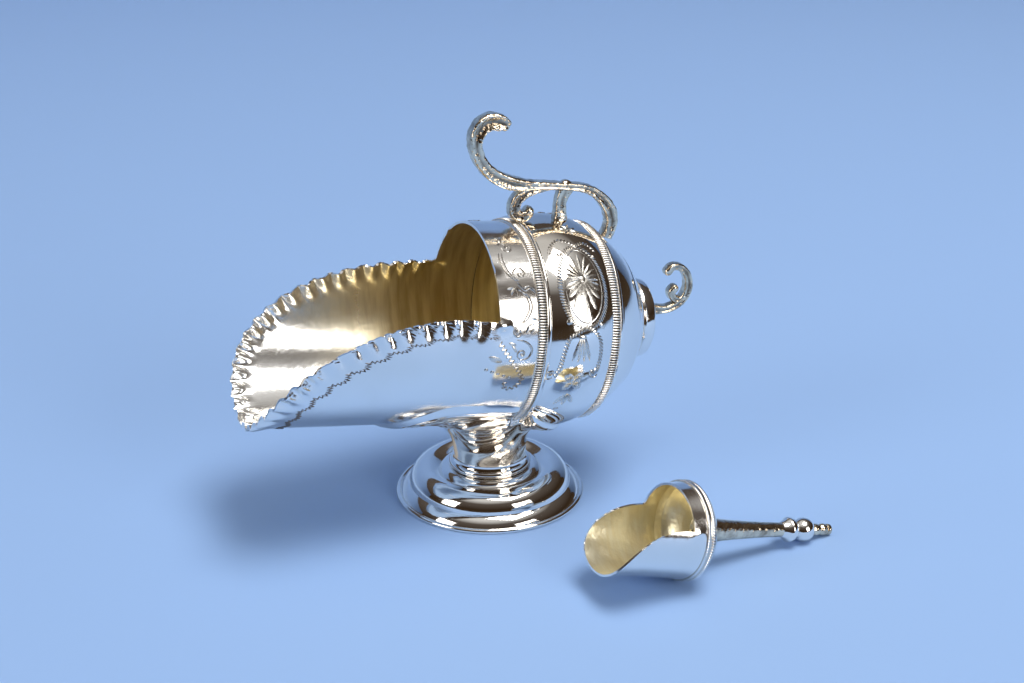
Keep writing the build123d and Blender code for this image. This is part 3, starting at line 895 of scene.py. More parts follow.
@dataclass
class Casting:
    """A cast scroll in the bowl's middle plane, with a channel along each side."""

    name: str
    stations: Sequence[Station]
    round_start: bool = True
    round_end: bool = True
    roughness: float = 0.06
    points: int = 32
    steps: int = 6

    def rings(self) -> list[list[Vector]]:
        """Works out the sections along the casting."""
        path = smooth_path(self.values(), self.steps)
        closing = (0.22, 0.55, 0.80, 0.94)
        rings = []
        for index, at in enumerate(path):
            before, after = path[max(index - 1, 0)], path[min(index + 1, len(path) - 1)]
            rings.append(self.ring(at, self.heading(before, after)))
        if self.round_start:
            along = self.heading(path[0], path[1])
            rings = [self.ring(path[0], along, size, -1.0) for size in closing] + rings
        if self.round_end:
            along = self.heading(path[-2], path[-1])
            rings += [self.ring(path[-1], along, size, 1.0) for size in reversed(closing)]
        return rings

    def values(self) -> list[Sequence[float]]:
        """Lists the stations as plain numbers."""
        return [(s.x, s.z, s.thick, s.wide, s.channel) for s in self.stations]

    @staticmethod
    def heading(before: Sequence[float], after: Sequence[float]) -> Pair:
        """Direction from one path point to the next."""
        run = math.hypot(after[0] - before[0], after[1] - before[1])
        return (after[0] - before[0]) / run, (after[1] - before[1]) / run

    def ring(self, at: Sequence[float], along: Pair, size: float = 1.0, way: float = 0.0) -> list[Vector]:
        """Draws one section.

        Args:
            at: its place in the middle plane, its thickness, its width, and the depth of its
                side channels as a share of its half width.
            along: the way the casting runs there.
            size: share of its full size, for rounded ends.
            way: -1 before the start, 1 beyond the end and 0 between them.

        Returns:
            Its points in metres.
        """
        x, z, thick, wide, channel = at
        channel *= size
        shift = way * thick * 0.5 * math.sqrt(1 - size**2)
        wobble = 1.0 + channel * 3.0
        points = []
        for step in range(self.points):
            turn = math.tau * step / self.points
            lean, reach = math.cos(turn), math.sin(turn)
            out = math.copysign(abs(lean) ** 0.8, lean) * thick / 2 * size
            dip = 1.0 - channel * math.exp(-((lean / (0.34 + 0.5 * channel)) ** 2))
            aside = math.copysign(abs(reach) ** 0.5, reach) * wide / 2 * size * dip
            place = Vector((
                x + along[0] * shift - along[1] * out, aside, z + along[1] * shift + along[0] * out
            ))
            place += noise.noise_vector(place * 0.9) * self.roughness * wobble * size
            points.append(place * MM)
        return points

    def build(self) -> bpy.types.Object:
        """Models the casting and stores how deep its channels are, which the finish darkens as painted shade.
        """
        piece = loft(self.name, self.rings())
        middle = smooth_path(self.values(), 10)

        def depth(place: Vector) -> float:
            """How deep in a channel a place lies."""
            x, y, z = place / MM
            near = min(middle, key=lambda one: (one[0] - x) ** 2 + (one[1] - z) ** 2)
            across = math.hypot(near[0] - x, near[1] - z) / max(near[2] / 2, 0.1)
            return max(0.0, 1.0 - across * 1.5) * min(1.0, near[4] * 3.2) * min(1, abs(y) / (near[3] * 0.25))

        # Painted shade: the depth of each channel darkens the finish there.
        store_depth(piece, [depth(vertex.co) for vertex in piece.data.vertices])
        return piece


@dataclass
class Cutting:
    """Engraver's work on a surface: leaves, beads, ropes and lines, each slightly raised."""

    name: str
    surface: Surface
    vertices: list[Vector] = field(default_factory=list)
    faces: list[tuple[int, ...]] = field(default_factory=list)
    sunk: float = -0.04
    # Painted shadow: when set, every cut also lays a darker, slightly bigger flat copy of itself here, under
    # it.
    shade: Optional["Cutting"] = None

    def add_patch(
        self, points: Sequence[tuple[float, float, float]], faces: Iterable[tuple[int, ...]]
    ) -> None:
        """Adds a small mesh given on the surface as two coordinates and a lift."""
        first = len(self.vertices)
        self.vertices.extend(self.surface(*point) for point in points)
        for face in faces:
            a, b, c = (self.vertices[first + index] for index in face[:3])
            p, q, lift = points[face[0]]
            outward = self.surface(p, q, lift + 1.0) - self.surface(p, q, lift)
            turned = face if (b - a).cross(c - a).dot(outward) > 0 else tuple(reversed(face))
            self.faces.append(tuple(first + index for index in turned))

    def leaf(
        self, at: Pair, heading: float, length: float, width: float, rise: float = 0.22, pointed: float = 1.5
    ) -> None:
        """Cuts one leaf.

        Args:
            at: its middle on the surface.
            heading: the way it points, in degrees.
            length: its length.
            width: its greatest width.
            rise: how high its rib stands.
            pointed: 1 for a round bead, more for sharper ends.
        """
        # Painted shadow: a darker flat leaf, a little bigger, under this one.
        if self.shade:
            self.shade.leaf(at, heading, length + 0.55, width + 0.6, 0.05, pointed)
        turn = math.radians(heading)
        sides = 10
        points = []
        for step in range(sides):
            angle = math.tau * step / sides
            run = math.cos(angle) * length / 2
            aside = math.copysign(abs(math.sin(angle)) ** pointed, math.sin(angle)) * width / 2
            points.append((
                at[0] + run * math.cos(turn) - aside * math.sin(turn),
                at[1] + run * math.sin(turn) + aside * math.cos(turn),
                self.sunk,
            ))
        for run in (0.28 * length, -0.28 * length):
            points.append((at[0] + run * math.cos(turn), at[1] + run * math.sin(turn), rise))
        front, back = sides, sides + 1
        faces: list[tuple[int, ...]] = [(2, 3, back, front), (7, 8, front, back)]
        for step in range(sides):
            if step not in (2, 7):
                faces.append((step, (step + 1) % sides, back if 3 <= step <= 6 else front))
        self.add_patch(points, faces)

    def rosette(
        self,
        centre: Pair,
        reach: float,
        turns: Iterable[float],
        length: float,
        width: float,
        rise: float = 0.22,
        pointed: float = 1.5,
    ) -> None:
        """Cuts leaves that point away from a centre.

        Args:
            centre: the middle of the rosette.
            reach: distance from there to the middle of each leaf.
            turns: direction of each leaf.
            length: length of a leaf.
            width: its greatest width.
            rise: how high its rib stands.
            pointed: 1 for a round bead, more for sharper ends.
        """
        for turn in turns:
            at = (centre[0] + reach * math.cos(turn), centre[1] + reach * math.sin(turn))
            self.leaf(at, math.degrees(turn), length, width, rise, pointed)

    def bead(self, at: Pair, size: float, rise: float = 0.3) -> None:
        """Punches one round bead."""
        self.leaf(at, 0.0, size, size, rise, 1.0)

    def line(self, path: Sequence[Pair], width: float = 0.45, rise: float = 0.16, steps: int = 5) -> None:
        """Cuts a curved line through the given points.

        Args:
            path: the points that it passes through.
            width: its width at its middle; it thins towards both ends.
            rise: height of its ridge.
            steps: how finely each stretch is cut.
        """
        # Painted shadow: a darker, wider flat line under this one.
        if self.shade:
            self.shade.line(path, width + 0.7, 0.05, steps)
        route = smooth_path(path, steps)
        points, faces = [], []
        for index, (p, q) in enumerate(route):
            before, after = route[max(index - 1, 0)], route[min(index + 1, len(route) - 1)]
            run = math.dist(before, after) or 1.0
            normal = (-(after[1] - before[1]) / run, (after[0] - before[0]) / run)
            share = index / (len(route) - 1)
            half = width / 2 * (0.35 + 0.65 * math.sin(math.pi * share))
            points.append((p + normal[0] * half, q + normal[1] * half, self.sunk))
            points.append((p, q, rise))
            points.append((p - normal[0] * half, q - normal[1] * half, self.sunk))
            if index:
                last = 3 * index
                faces.append((last - 3, last - 2, last + 1, last))
                faces.append((last - 2, last - 1, last + 2, last + 1))
        self.add_patch(points, faces)

    def scroll(self, centre: Pair, radius: float, start: float, turns: float, width: float = 0.5) -> None:
        """Cuts a spiral that winds in from its outer end, with a bead at its eye."""
        steps = max(8, int(abs(turns) * 14))
        path = []
        for step in range(steps + 1):
            share = step / steps
            angle = math.radians(start) + math.tau * turns * share
            reach = radius * (1 - 0.8 * share)
            path.append((centre[0] + reach * math.cos(angle), centre[1] + reach * math.sin(angle)))
        self.line(path, width, 0.18, 1)
        self.bead(centre, radius * 0.42)

    def along(self, path: Sequence[Pair], pitch: float) -> list[tuple[float, float, float]]:
        """Steps along a smooth path at an even pitch: places and headings in degrees."""
        route = smooth_path(path, 12)
        marks, left = [], 0.0
        for before, after in zip(route, route[1:]):
            run = math.dist(before, after)
            heading = math.degrees(math.atan2(after[1] - before[1], after[0] - before[0]))
            while left <= run and run > 0:
                part = left / run
                marks.append((
                    before[0] + (after[0] - before[0]) * part,
                    before[1] + (after[1] - before[1]) * part,
                    heading,
                ))
                left += pitch
            left -= run
        return marks

    def rope(self, path: Sequence[Pair], width: float = 1.8, pitch: float = 1.05) -> None:
        """Cuts a twisted rope: slanted leaves side by side."""
        for p, q, heading in self.along(path, pitch):
            self.leaf((p, q), heading + 56.0, width * 1.15, 0.72, 0.24)

    def zigzag(self, path: Sequence[Pair], height: float = 1.3, pitch: float = 0.95) -> None:
        """Cuts a wriggled line: short cuts that lean to and fro."""
        for number, (p, q, heading) in enumerate(self.along(path, pitch)):
            lean = 62.0 if number % 2 else -62.0
            self.leaf((p, q), heading + lean, height * 1.25, 0.5, 0.20)

    def build(self) -> bpy.types.Object:
        """Makes the mesh and closes it underneath."""
        mesh = bpy.data.meshes.new(self.name)
        mesh.from_pydata(self.vertices, [], self.faces)
        piece = bpy.data.objects.new(self.name, mesh)
        bpy.context.scene.collection.objects.link(piece)
        apply_modifier(piece, "SOLIDIFY", thickness=0.10 * MM, offset=-1.0)
        return piece


# ------------------------------------------------------------------------ the bowl


@dataclass
class Bowl:
    """The bowl's shells and bands, spun about its own tipped axis."""

    finishes: Finishes
    axis_height: float = 63.9
    mouth_rise: float = 7.0
    mouth_wall: float = 0.85
    barrel_wall: float = 0.95
    spun_wall: float = 0.8
    mouth_radius: float = 33.7
    mouth_joint: float = -6.2
    ring_front: float = 9.5
    bulge: tuple[Pair, Pair, Pair] = ((-6.2, 33.8), (-18.4, 36.5), (-31.3, 33.1))
    frame_reach: float = 36.78
    trough_settle: float = 26.0
    trough_end: float = 86.0
    trough_half_widths: Pair = (31.2, 30.6)
    trough_end_depth: float = 33.0
    rim_centre: Pair = (20.0, -33.0)
    rim_half: Pair = (63.5, 44.6)
    ribs: int = 236
    rib_depth: float = 0.27

    def __post_init__(self) -> None:
        """Places the axis and the barrel's curve."""
        rise = math.radians(self.mouth_rise)
        along = Vector((-math.cos(rise), 0.0, math.sin(rise)))
        up = Vector((math.sin(rise), 0.0, math.cos(rise)))
        self.axis = AxisFrame(UPRIGHT * self.axis_height, along, up)
        self.barrel_radius = circle_through(*self.bulge)
        self.mouth = OpenShell(
            name="crimped_mouth",
            axis=self.axis,
            joint=self.mouth_joint,
            ring_front=self.ring_front,
            section=self.mouth_section,
            rim_centre=self.rim_centre,
            rim_half=self.rim_half,
            wall=self.mouth_wall,
            columns=520,
            flutes=Flutes(),
            bumps=((8.4, 42.6, 1.8, 1.2), (9.2, 24.0, 1.4, 0.6)),
        )

    def mouth_section(self, station: float) -> Pair:
        """Depth and half width of the mouth at a station."""
        settled = smooth_step(self.ring_front, self.trough_settle, station)
        late = smooth_step(self.trough_settle, self.trough_end + 20, station)
        depth = self.mouth_radius + (self.trough_end_depth - self.mouth_radius) * late
        narrow = self.mouth_radius + (self.trough_half_widths[0] - self.mouth_radius) * settled
        return depth, narrow + (self.trough_half_widths[1] - self.trough_half_widths[0]) * late

    def outside(self, hand: int) -> Surface:
        """Outer face of ring and barrel by station and length round from the top, on one side."""

        def place(station: float, length: float, lift: float) -> Vector:
            """Place on that face, in metres."""
            radius = self.mouth_radius if station > self.mouth_joint else self.barrel_radius(station)
            if station > self.ring_front:
                return self.mouth.surface_at(station, hand * length / radius, lift)
            return self.axis.around(station, min(radius + lift, self.frame_reach), hand * length / radius)

        return place

    def below(self, hand: int) -> Surface:
        """Outer face of the trough by length along the rim and depth below it, on one side."""

        def place(length: float, depth: float, lift: float) -> Vector:
            """Place on that face, in metres."""
            share = length / (2 * self.mouth.half_length)
            return self.mouth.trough_place(share if hand > 0 else 1 - share, depth, lift)

        return place

    def build_shells(self) -> None:
        """Makes the mouth, the barrel, the dome and the cap."""
        walls = (self.finishes.sheet, self.finishes.gilt)
        inner = (self.finishes.polished, self.finishes.gilt)
        dress(self.mouth.build(), Body.BOWL, Slot.ENGRAVED, walls, ("mouth_shell",), 55)
        steps = 26
        start, end = self.bulge[0][0], self.bulge[2][0]
        stations = [start + (end - start) * step / steps for step in range(steps + 1)]
        outline = [(station, self.barrel_radius(station)) for station in stations]
        barrel = lathe("bulged_barrel", self.axis, outline, 160, self.barrel_wall)
        dress(barrel, Body.BOWL, Slot.ENGRAVED, (self.finishes.spun, self.finishes.gilt), ("barrel_shell",))
        shoulder, tip = (-35.4, 31.2), (-51.5, 14.4)
        curve = arc(shoulder, tip, -1.82, 60)

        def step_on(run: float) -> float:
            """Height over the plain curve of the small ridge and the groove behind it."""
            ridge, groove = 0.3, 0.45
            rise = ridge * math.exp(-(((run + 44.6) / 0.45) ** 2))
            return rise - groove * math.exp(-(((run + 48.2) / 0.5) ** 2))

        dome_outline = [
            (end, 33.2), (-33.7, 33.2),
            *arc((-33.7, 33.2), (-34.4, 32.6), -0.15, 4)[1:],
            (-34.6, 31.6), (-34.9, 31.3),
            *((run, reach + step_on(run)) for run, reach in curve),
        ]
        dome = lathe("rear_dome_spun", self.axis, dome_outline, 160, self.spun_wall)
        dress(dome, Body.BOWL, Slot.POLISHED, inner, ("rear_dome",), 30)
        cap_outline = [
            (-51.5, 14.2), (-51.6, 14.6),
            *arc((-51.8, 14.8), (-52.6, 14.7), -0.25, 5),
            (-52.8, 14.3),
            *arc((-52.9, 14.2), (-55.6, 13.7), -0.10, 4),
            *arc((-55.6, 13.7), (-56.7, 12.6), -0.30, 6)[1:],
            (-56.7, 10.5), (-56.45, 9.8), (-56.5, 5.0), (-56.7, 0.0),
        ]
        cap = lathe("rear_cap_spun", self.axis, cap_outline, 96, self.spun_wall)
        dress(cap, Body.BOWL, Slot.POLISHED, inner, ("rear_cap",), 30)

    def mill(self, piece: bpy.types.Object, base: float, reach: float) -> bpy.types.Object:
        """Cuts ribs across a band and stores how deep the cuts are, which the finish darkens as tarnish and
        painted shade.

        Args:
            piece: the plain band.
            base: radius below which nothing is cut.
            reach: height above base at which the cut is full.

        Returns:
            The same piece.
        """
        depths = []
        for vertex in piece.data.vertices:
            station, radius, angle = self.axis.measure(vertex.co)
            wave = (0.5 - 0.5 * math.cos(angle * self.ribs)) ** 1.5
            cut = self.rib_depth * 2 * smooth_step(base, base + reach, radius)
            vertex.co = self.axis.around(station, radius - cut * wave, angle)
            # Painted shade: the cut depth darkens the ribs' grooves.
            depths.append(min(1.0, wave * cut / (self.rib_depth * 1.3)))
        store_depth(piece, depths)
        return piece

    def build_bands(self) -> None:
        """Makes the two milled bands and the bead beside the front one."""
        radius = self.mouth_radius
        front = [
            (-3.6, radius - 0.1), (-3.6, radius + 0.35),
            *arc((-3.7, radius + 0.85), (-6.1, radius + 0.85), -0.2, 6),
            (-6.2, radius + 0.35), (-6.2, radius - 0.1), (-3.6, radius - 0.1),
        ]
        band = lathe("milled_band_front", self.axis, front, self.ribs * 6)
        self.mill(band, radius + 0.36, 0.45)
        dress(band, Body.BOWL, Slot.MILLED, (self.finishes.milled,), ("front_band",), 60)
        bead_centre, bead_radius = (-7.0, 34.7), 0.8
        bead = [
            (bead_centre[0] + bead_radius * math.cos(turn), bead_centre[1] + bead_radius * math.sin(turn))
            for turn in (math.tau * step / 16 for step in range(17))
        ]
        wire = lathe("bead_wire_front", self.axis, bead, 160)
        dress(wire, Body.BOWL, Slot.POLISHED, (self.finishes.polished,), ("front_bead",))
        low = self.bulge[2][1]
        rear = [
            (-29.2, low - 0.1), (-29.2, low + 0.4),
            *arc((-29.25, low + 0.5), (-29.85, low + 0.5), -0.2, 4),
            (-29.95, low + 0.25),
            *arc((-30.05, low + 0.85), (-32.75, low + 0.85), -0.22, 6),
            (-32.85, low + 0.25),
            *arc((-32.9, low + 0.35), (-33.3, low + 0.35), -0.15, 3),
            (-33.4, low - 0.1), (-29.2, low - 0.1),
        ]
        band = lathe("milled_band_rear", self.axis, rear, self.ribs * 6)
        self.mill(band, low + 0.74, 0.08)
        dress(band, Body.BOWL, Slot.MILLED, (self.finishes.milled,), ("rear_band",), 60)

    def cut_festoon(self, hand: int) -> bpy.types.Object:
        """Cuts the wriggled festoon under the rim of one side."""
        cutting = Cutting(f"festoon_{'near' if hand > 0 else 'far'}", self.below(hand))
        drop, sag, pitch = 8.4, 2.2, 7.4
        length = self.mouth.half_length
        count = int(length / 2)
        path = []
        for step in range(count + 1):
            run = 9.0 + (length - 12.0) * step / count
            path.append((run, drop + sag * abs(math.sin(math.pi * run / pitch))))
        cutting.zigzag(path, 1.9, 0.62)
        return cutting.build()

    def shaded_cutting(self, name: str, hand: int) -> Cutting:
        """Starts a cutting on one side whose every cut lies on a painted shadow: a darker, slightly bigger
        flat copy under it.
        """
        place, side = self.outside(hand), "near" if hand > 0 else "far"
        return Cutting(f"{name}_{side}", place, shade=Cutting(f"{name}_beds_{side}", place))

    def cut_ring(self, hand: int) -> Cutting:
        """Cuts the foliate scrolls on one side of the closed ring."""
        cutting = self.shaded_cutting("ring_scrolls", hand)
        for shift in (0.0, 1.1):
            cutting.line(
                [(6.6 - shift, 17.5), (7.0 - shift, 21), (5.6 - shift, 25.4), (2.6, 28.2 - shift)], 0.6
            )
        cutting.scroll((1.2, 25.4), 2.7, 70, -1.3, 0.8)
        cutting.line([(2.6, 28.6), (0.6, 30.4), (-1.2, 29.8), (-3.2, 31.4)], 0.8)
        cutting.line([(2.6, 29.4), (0.4, 31.4), (-1.4, 30.8), (-3.2, 32.2)], 0.5)
        for heading, size in ((60, 3.2), (105, 2.8), (150, 2.4), (15, 2.4)):
            turn = math.radians(heading)
            cutting.leaf((3.9 + 1.5 * math.cos(turn), 30.2 + 1.5 * math.sin(turn)), heading, size, 1.1)
        for shift in (0.0, 0.9):
            stalk = [(-0.8 + shift, 33.6), (-1.6 + shift, 37.0), (0.2 + shift, 40.6)]
            cutting.line([(1.6, 31.6), *stalk, (2.8, 42.4)], 0.55)
        cutting.scroll((3.4, 44.8), 2.2, 250, 1.2, 0.7)
        spray = (((-1.4, 42.2), 200), ((-2.2, 40.6), 160), ((0.2, 43.8), 250), ((-1.6, 44.2), 225))
        for at, heading in spray:
            cutting.leaf(at, heading, 2.8, 1.2)
        cutting.line([(3.8, 47.2), (0.6, 48.0), (-1.6, 50.4), (-0.6, 53.2), (2.0, 54.0)], 0.9)
        cutting.scroll((1.8, 52.0), 1.8, 80, -1.1, 0.6)
        for at, heading in (((5.2, 48.6), 160), ((4.4, 50.2), 130)):
            cutting.leaf(at, heading, 3.0, 1.3)
        cutting.zigzag(
            [(9.3, 48.4), (7.0, 51.6), (4.0, 55.4), (1.4, 58.8), (0.4, 61.6), (1.8, 64.0)], 1.7, 0.8
        )
        cutting.zigzag([(1.8, 64.0), (4.2, 64.9), (6.2, 63.6), (5.6, 61.8)], 1.5, 0.8)
        for step in range(5):
            cutting.bead((13.2 - 2.1 * step, 57.2 + 0.75 * step), 1.05)
        cutting.leaf((10.6, 53.6), 160, 5.4, 2.4, 0.34)
        cutting.scroll((3.0, 15.0), 2.0, 0, 1.2, 0.7)
        cutting.rosette((4.6, 11.8), 1.5, (math.tau * step / 6 for step in range(6)), 2.1, 1.0)
        cutting.bead((4.6, 11.8), 1.2)
        return cutting

    def cut_barrel(self, hand: int) -> Cutting:
        """Cuts the cartouche, its ropes and its pendant on one side of the barrel."""
        centre, half = (-19.4, 33.0), (7.2, 13.4)
        cutting = self.shaded_cutting("cartouche", hand)
        for grow, width in ((0.9, 1.9), (-0.7, 0.0)):
            border = [
                (centre[0] + (half[0] + grow) * math.cos(turn), centre[1] + (half[1] + grow) * math.sin(turn))
                for turn in (math.tau * step / 24 for step in range(25))
            ]
            if width:
                cutting.rope(border, width, 1.0)
            else:
                cutting.line(border, 0.5, 0.14)
        heart = (-19.2, 31.2)
        for step in range(13):
            turn = math.radians(170 + 200 * step / 12)
            reach = 1 / math.hypot(math.cos(turn) / (half[0] - 1.2), math.sin(turn) / (half[1] - 3.4))
            at = (heart[0] + math.cos(turn) * reach * 0.56, heart[1] + math.sin(turn) * reach * 0.56)
            cutting.leaf(at, math.degrees(turn), reach * 0.9, 1.25, 0.24)
        for step in range(7):
            turn = math.radians(24 + 132 * step / 6)
            reach = 1 / math.hypot(math.cos(turn) / (half[0] - 1.0), math.sin(turn) / (half[1] - 0.4))
            at = (heart[0] + math.cos(turn) * reach * 0.54, heart[1] + math.sin(turn) * reach * 0.54)
            cutting.leaf(at, math.degrees(turn), reach * 0.96, 2.6, 0.25, 1.0)
        cutting.bead(heart, 2.4, 0.3)
        studs = (((-13.6, 44.6), 2.4), ((-25.2, 45.4), 2.4), ((-13.2, 21.4), 1.6), ((-25.4, 21.8), 1.6))
        for at, size in studs:
            cutting.bead(at, size, 0.5)
        cutting.rope([(-19.6, 18.6), (-17.2, 16.4), (-14.0, 15.6), (-11.4, 17.6), (-10.2, 20.4)], 1.5)
        cutting.rope([(-19.6, 18.6), (-22.2, 16.8), (-25.0, 17.0), (-27.0, 19.4)], 1.5)
        cutting.rope(
            [(-19.4, 47.2), (-16.6, 48.8), (-13.8, 50.2), (-12.4, 54.0), (-11.4, 59.6), (-10.0, 63.0)], 1.7
        )
        cutting.rope([(-19.4, 47.2), (-22.6, 48.2), (-25.0, 50.8), (-25.4, 56.0), (-24.8, 61.0)], 1.7)
        cutting.scroll((-8.8, 61.0), 1.9, 120, -1.1, 0.7)
        cutting.scroll((-23.4, 62.2), 1.9, 180, -1.1, 0.7)
        for spread in (-26, -9, 9, 26):
            turn = math.radians(90 + spread)
            at = (-18.2 + 4.4 * math.cos(turn), 50.0 + 4.8 * math.sin(turn))
            cutting.leaf(at, 90 + spread * 0.7, 8.6, 1.7, 0.4)
        cutting.leaf((-18.0, 50.4), 0, 3.2, 1.6, 0.4)
        turns = (math.radians(90 * step + 45) for step in range(4))
        cutting.rosette((-16.8, 65.8), 2.2, turns, 4.2, 3.1, 0.5, 1.0)
        cutting.bead((-16.8, 65.8), 1.8, 0.7)
        turns = (math.radians(90 + spread) for spread in (-34, 0, 34))
        cutting.rosette((-15.8, 70.8), 2.8, turns, 5.6, 2.2, 0.4)
        for step in range(5):
            cutting.bead((-14.4 + 0.9 * step, 78.2 + 2.9 * step), 1.4)
        cutting.rosette((-20.4, 9.6), 1.9, (math.tau * step / 7 for step in range(7)), 2.6, 1.0)
        return cutting

    def build_engraving(self) -> None:
        """Cuts all engraving, the same on both sides."""
        for hand in (1, -1):
            # The festoon is painted near black as the shade of its groove.
            dress(self.cut_festoon(hand), Body.BOWL, Slot.ENGRAVED, (self.finishes.painted_shade_lines,))
            for cutting in (self.cut_ring(hand), self.cut_barrel(hand)):
                # The painted shadows under the cuts, in a near-black finish.
                dress(cutting.shade.build(), Body.BOWL, Slot.ENGRAVED, (self.finishes.cut,))
                dress(cutting.build(), Body.BOWL, Slot.ENGRAVED, (self.finishes.chased,))

    def build(self) -> None:
        """Makes every piece of the bowl's body."""
        self.build_shells()
        self.build_bands()
        self.build_engraving()


# -------------------------------------------------------------------- the pedestal


@dataclass
class Pedestal:
    """The spun foot, its wire and the saddle that carries the bowl."""

    finishes: Finishes
    bowl: Bowl
    foot_radius: float = 33.0
    wire_radius: float = 0.9
    waist_radius: float = 12.6
    waist_height: float = 14.8
    belly_rise: float = 15.4
    saddle_thickness: float = 1.3
    saddle_centre: float = -9.5
    saddle_half: Pair = (34.0, 28.0)
    saddle_wall: float = 0.5
    flare_sizes: Pair = (10.0, 7.4)
    columns: int = 120

    def upright(self) -> AxisFrame:
        """The foot's own axis."""
        return AxisFrame(Vector((0.0, 0.0, 0.0)), UPRIGHT, Vector((1.0, 0.0, 0.0)))

    def build_foot(self) -> None:
        """Spins the foot and its rim wire."""
        flange, base, crest = (0.9, 31.6), (4.6, 28.2), (10.8, 21.5)
        groove, cushion = (9.1, 17.6), (10.5, 13.4)
        outline = [
            *arc(flange, base, 0.43, 8),
            *arc(base, crest, 1.75, 18)[1:],
            *arc(crest, groove, 0.25, 8)[1:],
            *arc(groove, cushion, 0.76, 10)[1:],
            *arc(cushion, (13.2, 13.0), 1.0, 10)[1:],
            (13.7, 12.8), (14.3, 12.6), (14.9, 12.6),
        ]
        foot = lathe("spun_foot", self.upright(), outline, 160, 0.9)
        dress(foot, Body.BOWL, Slot.POLISHED, (self.finishes.polished, self.finishes.polished), ("foot",), 28)
        centre = (self.wire_radius - 0.2, self.foot_radius - self.wire_radius)
        wire = [
            (
                max(0.0, centre[0] + self.wire_radius * math.sin(turn)),
                centre[1] + self.wire_radius * math.cos(turn),
            )
            for turn in (math.tau * step / 20 for step in range(21))
        ]
        rim = lathe("foot_wire", self.upright(), wire, 160)
        dress(rim, Body.BOWL, Slot.POLISHED, (self.finishes.polished,), ("foot_rim_wire",))

    def belly_height(self, x: float, y: float, thickness: float) -> float:
        """Height of the bowl's underside, lowered by thickness, over a place on the table."""
        bowl = self.bowl
        rise = math.radians(bowl.mouth_rise)
        height = 30.0
        for _ in range(8):
            lever = height - bowl.axis_height
            station = -x * math.cos(rise) + lever * math.sin(rise)
            if station > bowl.mouth_joint:
                depth, half_width = bowl.mouth_section(station)
            else:
                depth = half_width = bowl.barrel_radius(max(station, bowl.bulge[2][0]))
            depth, half_width = depth + thickness, half_width + thickness
            drop = -depth * math.sqrt(max(0.0, 1 - (y / half_width) ** 2))
            height = bowl.axis_height + (drop - x * math.sin(rise)) / math.cos(rise)
        return height

    def edge_reach(self, angle: float) -> float:
        """Distance from the foot's axis to the apron's edge, by direction."""
        a, b = self.saddle_half
        cos, sin = math.cos(angle), math.sin(angle)
        square = (cos / a) ** 2 + (sin / b) ** 2
        middle = -self.saddle_centre * cos / a**2
        rest = (self.saddle_centre / a) ** 2 - 1
        return (-middle + math.sqrt(middle**2 - square * rest)) / square

    def flare(self, share: float, cos: float, sin: float) -> float:
        """How far the collar has flared at a share of its rise, by direction."""
        along, across = (size * (share / 0.94) ** 2.2 for size in self.flare_sizes)
        return math.hypot(along * cos, across * sin)

    def saddle_place(self, along: float, across: float) -> Vector:
        """Place of a crossing of the saddle, from the waist at 0 to the edge at 1."""
        angle = math.tau * along
        cos, sin = math.cos(angle), math.sin(angle)
        edge = self.edge_reach(angle)
        collar_end, last = 0.6, 1.05
        flare_end = self.flare(last, cos, sin)
        room = soft_lower(1.0, (0.84 * edge - self.waist_radius) / flare_end, 0.5)
        if across <= collar_end:
            share = last * across / collar_end
            reach = self.waist_radius + self.flare(share, cos, sin) * room
            climb = self.waist_height + self.belly_rise * share * 1.2
        else:
            share = (across - collar_end) / (1 - collar_end)
            start = self.waist_radius + flare_end * room
            reach = start + (edge - start) * share
            climb = 200.0
        x, y = reach * cos, reach * sin
        border = 1 - reach / edge
        ridge = 0.35 * math.exp(-(((border - 0.055) / 0.022) ** 2))
        ridge += 0.25 * math.exp(-(((border - 0.14) / 0.02) ** 2))
        lever = self.belly_height(x, y, 0.0) - self.bowl.axis_height
        rise = math.radians(self.bowl.mouth_rise)
        station = -x * math.cos(rise) + lever * math.sin(rise)
        in_band = smooth_step(-9.4, -8.2, station) * (1 - smooth_step(-3.4, -2.2, station))
        thickness = self.saddle_thickness + ridge - 1.5 * in_band
        if across > 0.995:
            thickness = -0.3
        belly = self.belly_height(x, y, thickness)
        height = soft_lower(climb, belly, 3.0) if across <= collar_end else belly
        return Vector((x, y, height)) * MM

    def build_saddle(self) -> None:
        """Makes the saddle: a flared collar and an oval apron with a stepped border."""
        saddle = shaped_grid("saddle", self.columns, 60, self.saddle_place)
        merge_doubles(saddle)
        face_away(saddle, self.upright())
        apply_modifier(saddle, "SOLIDIFY", thickness=self.saddle_wall * MM, offset=-1.0)
        dress(saddle, Body.BOWL, Slot.POLISHED, (self.finishes.polished,), ("foot_saddle",), 50)

    def build(self) -> None:
        """Makes every piece of the pedestal."""
        self.build_foot()
        self.build_saddle()


# -------------------------------------------------------------------- the castings


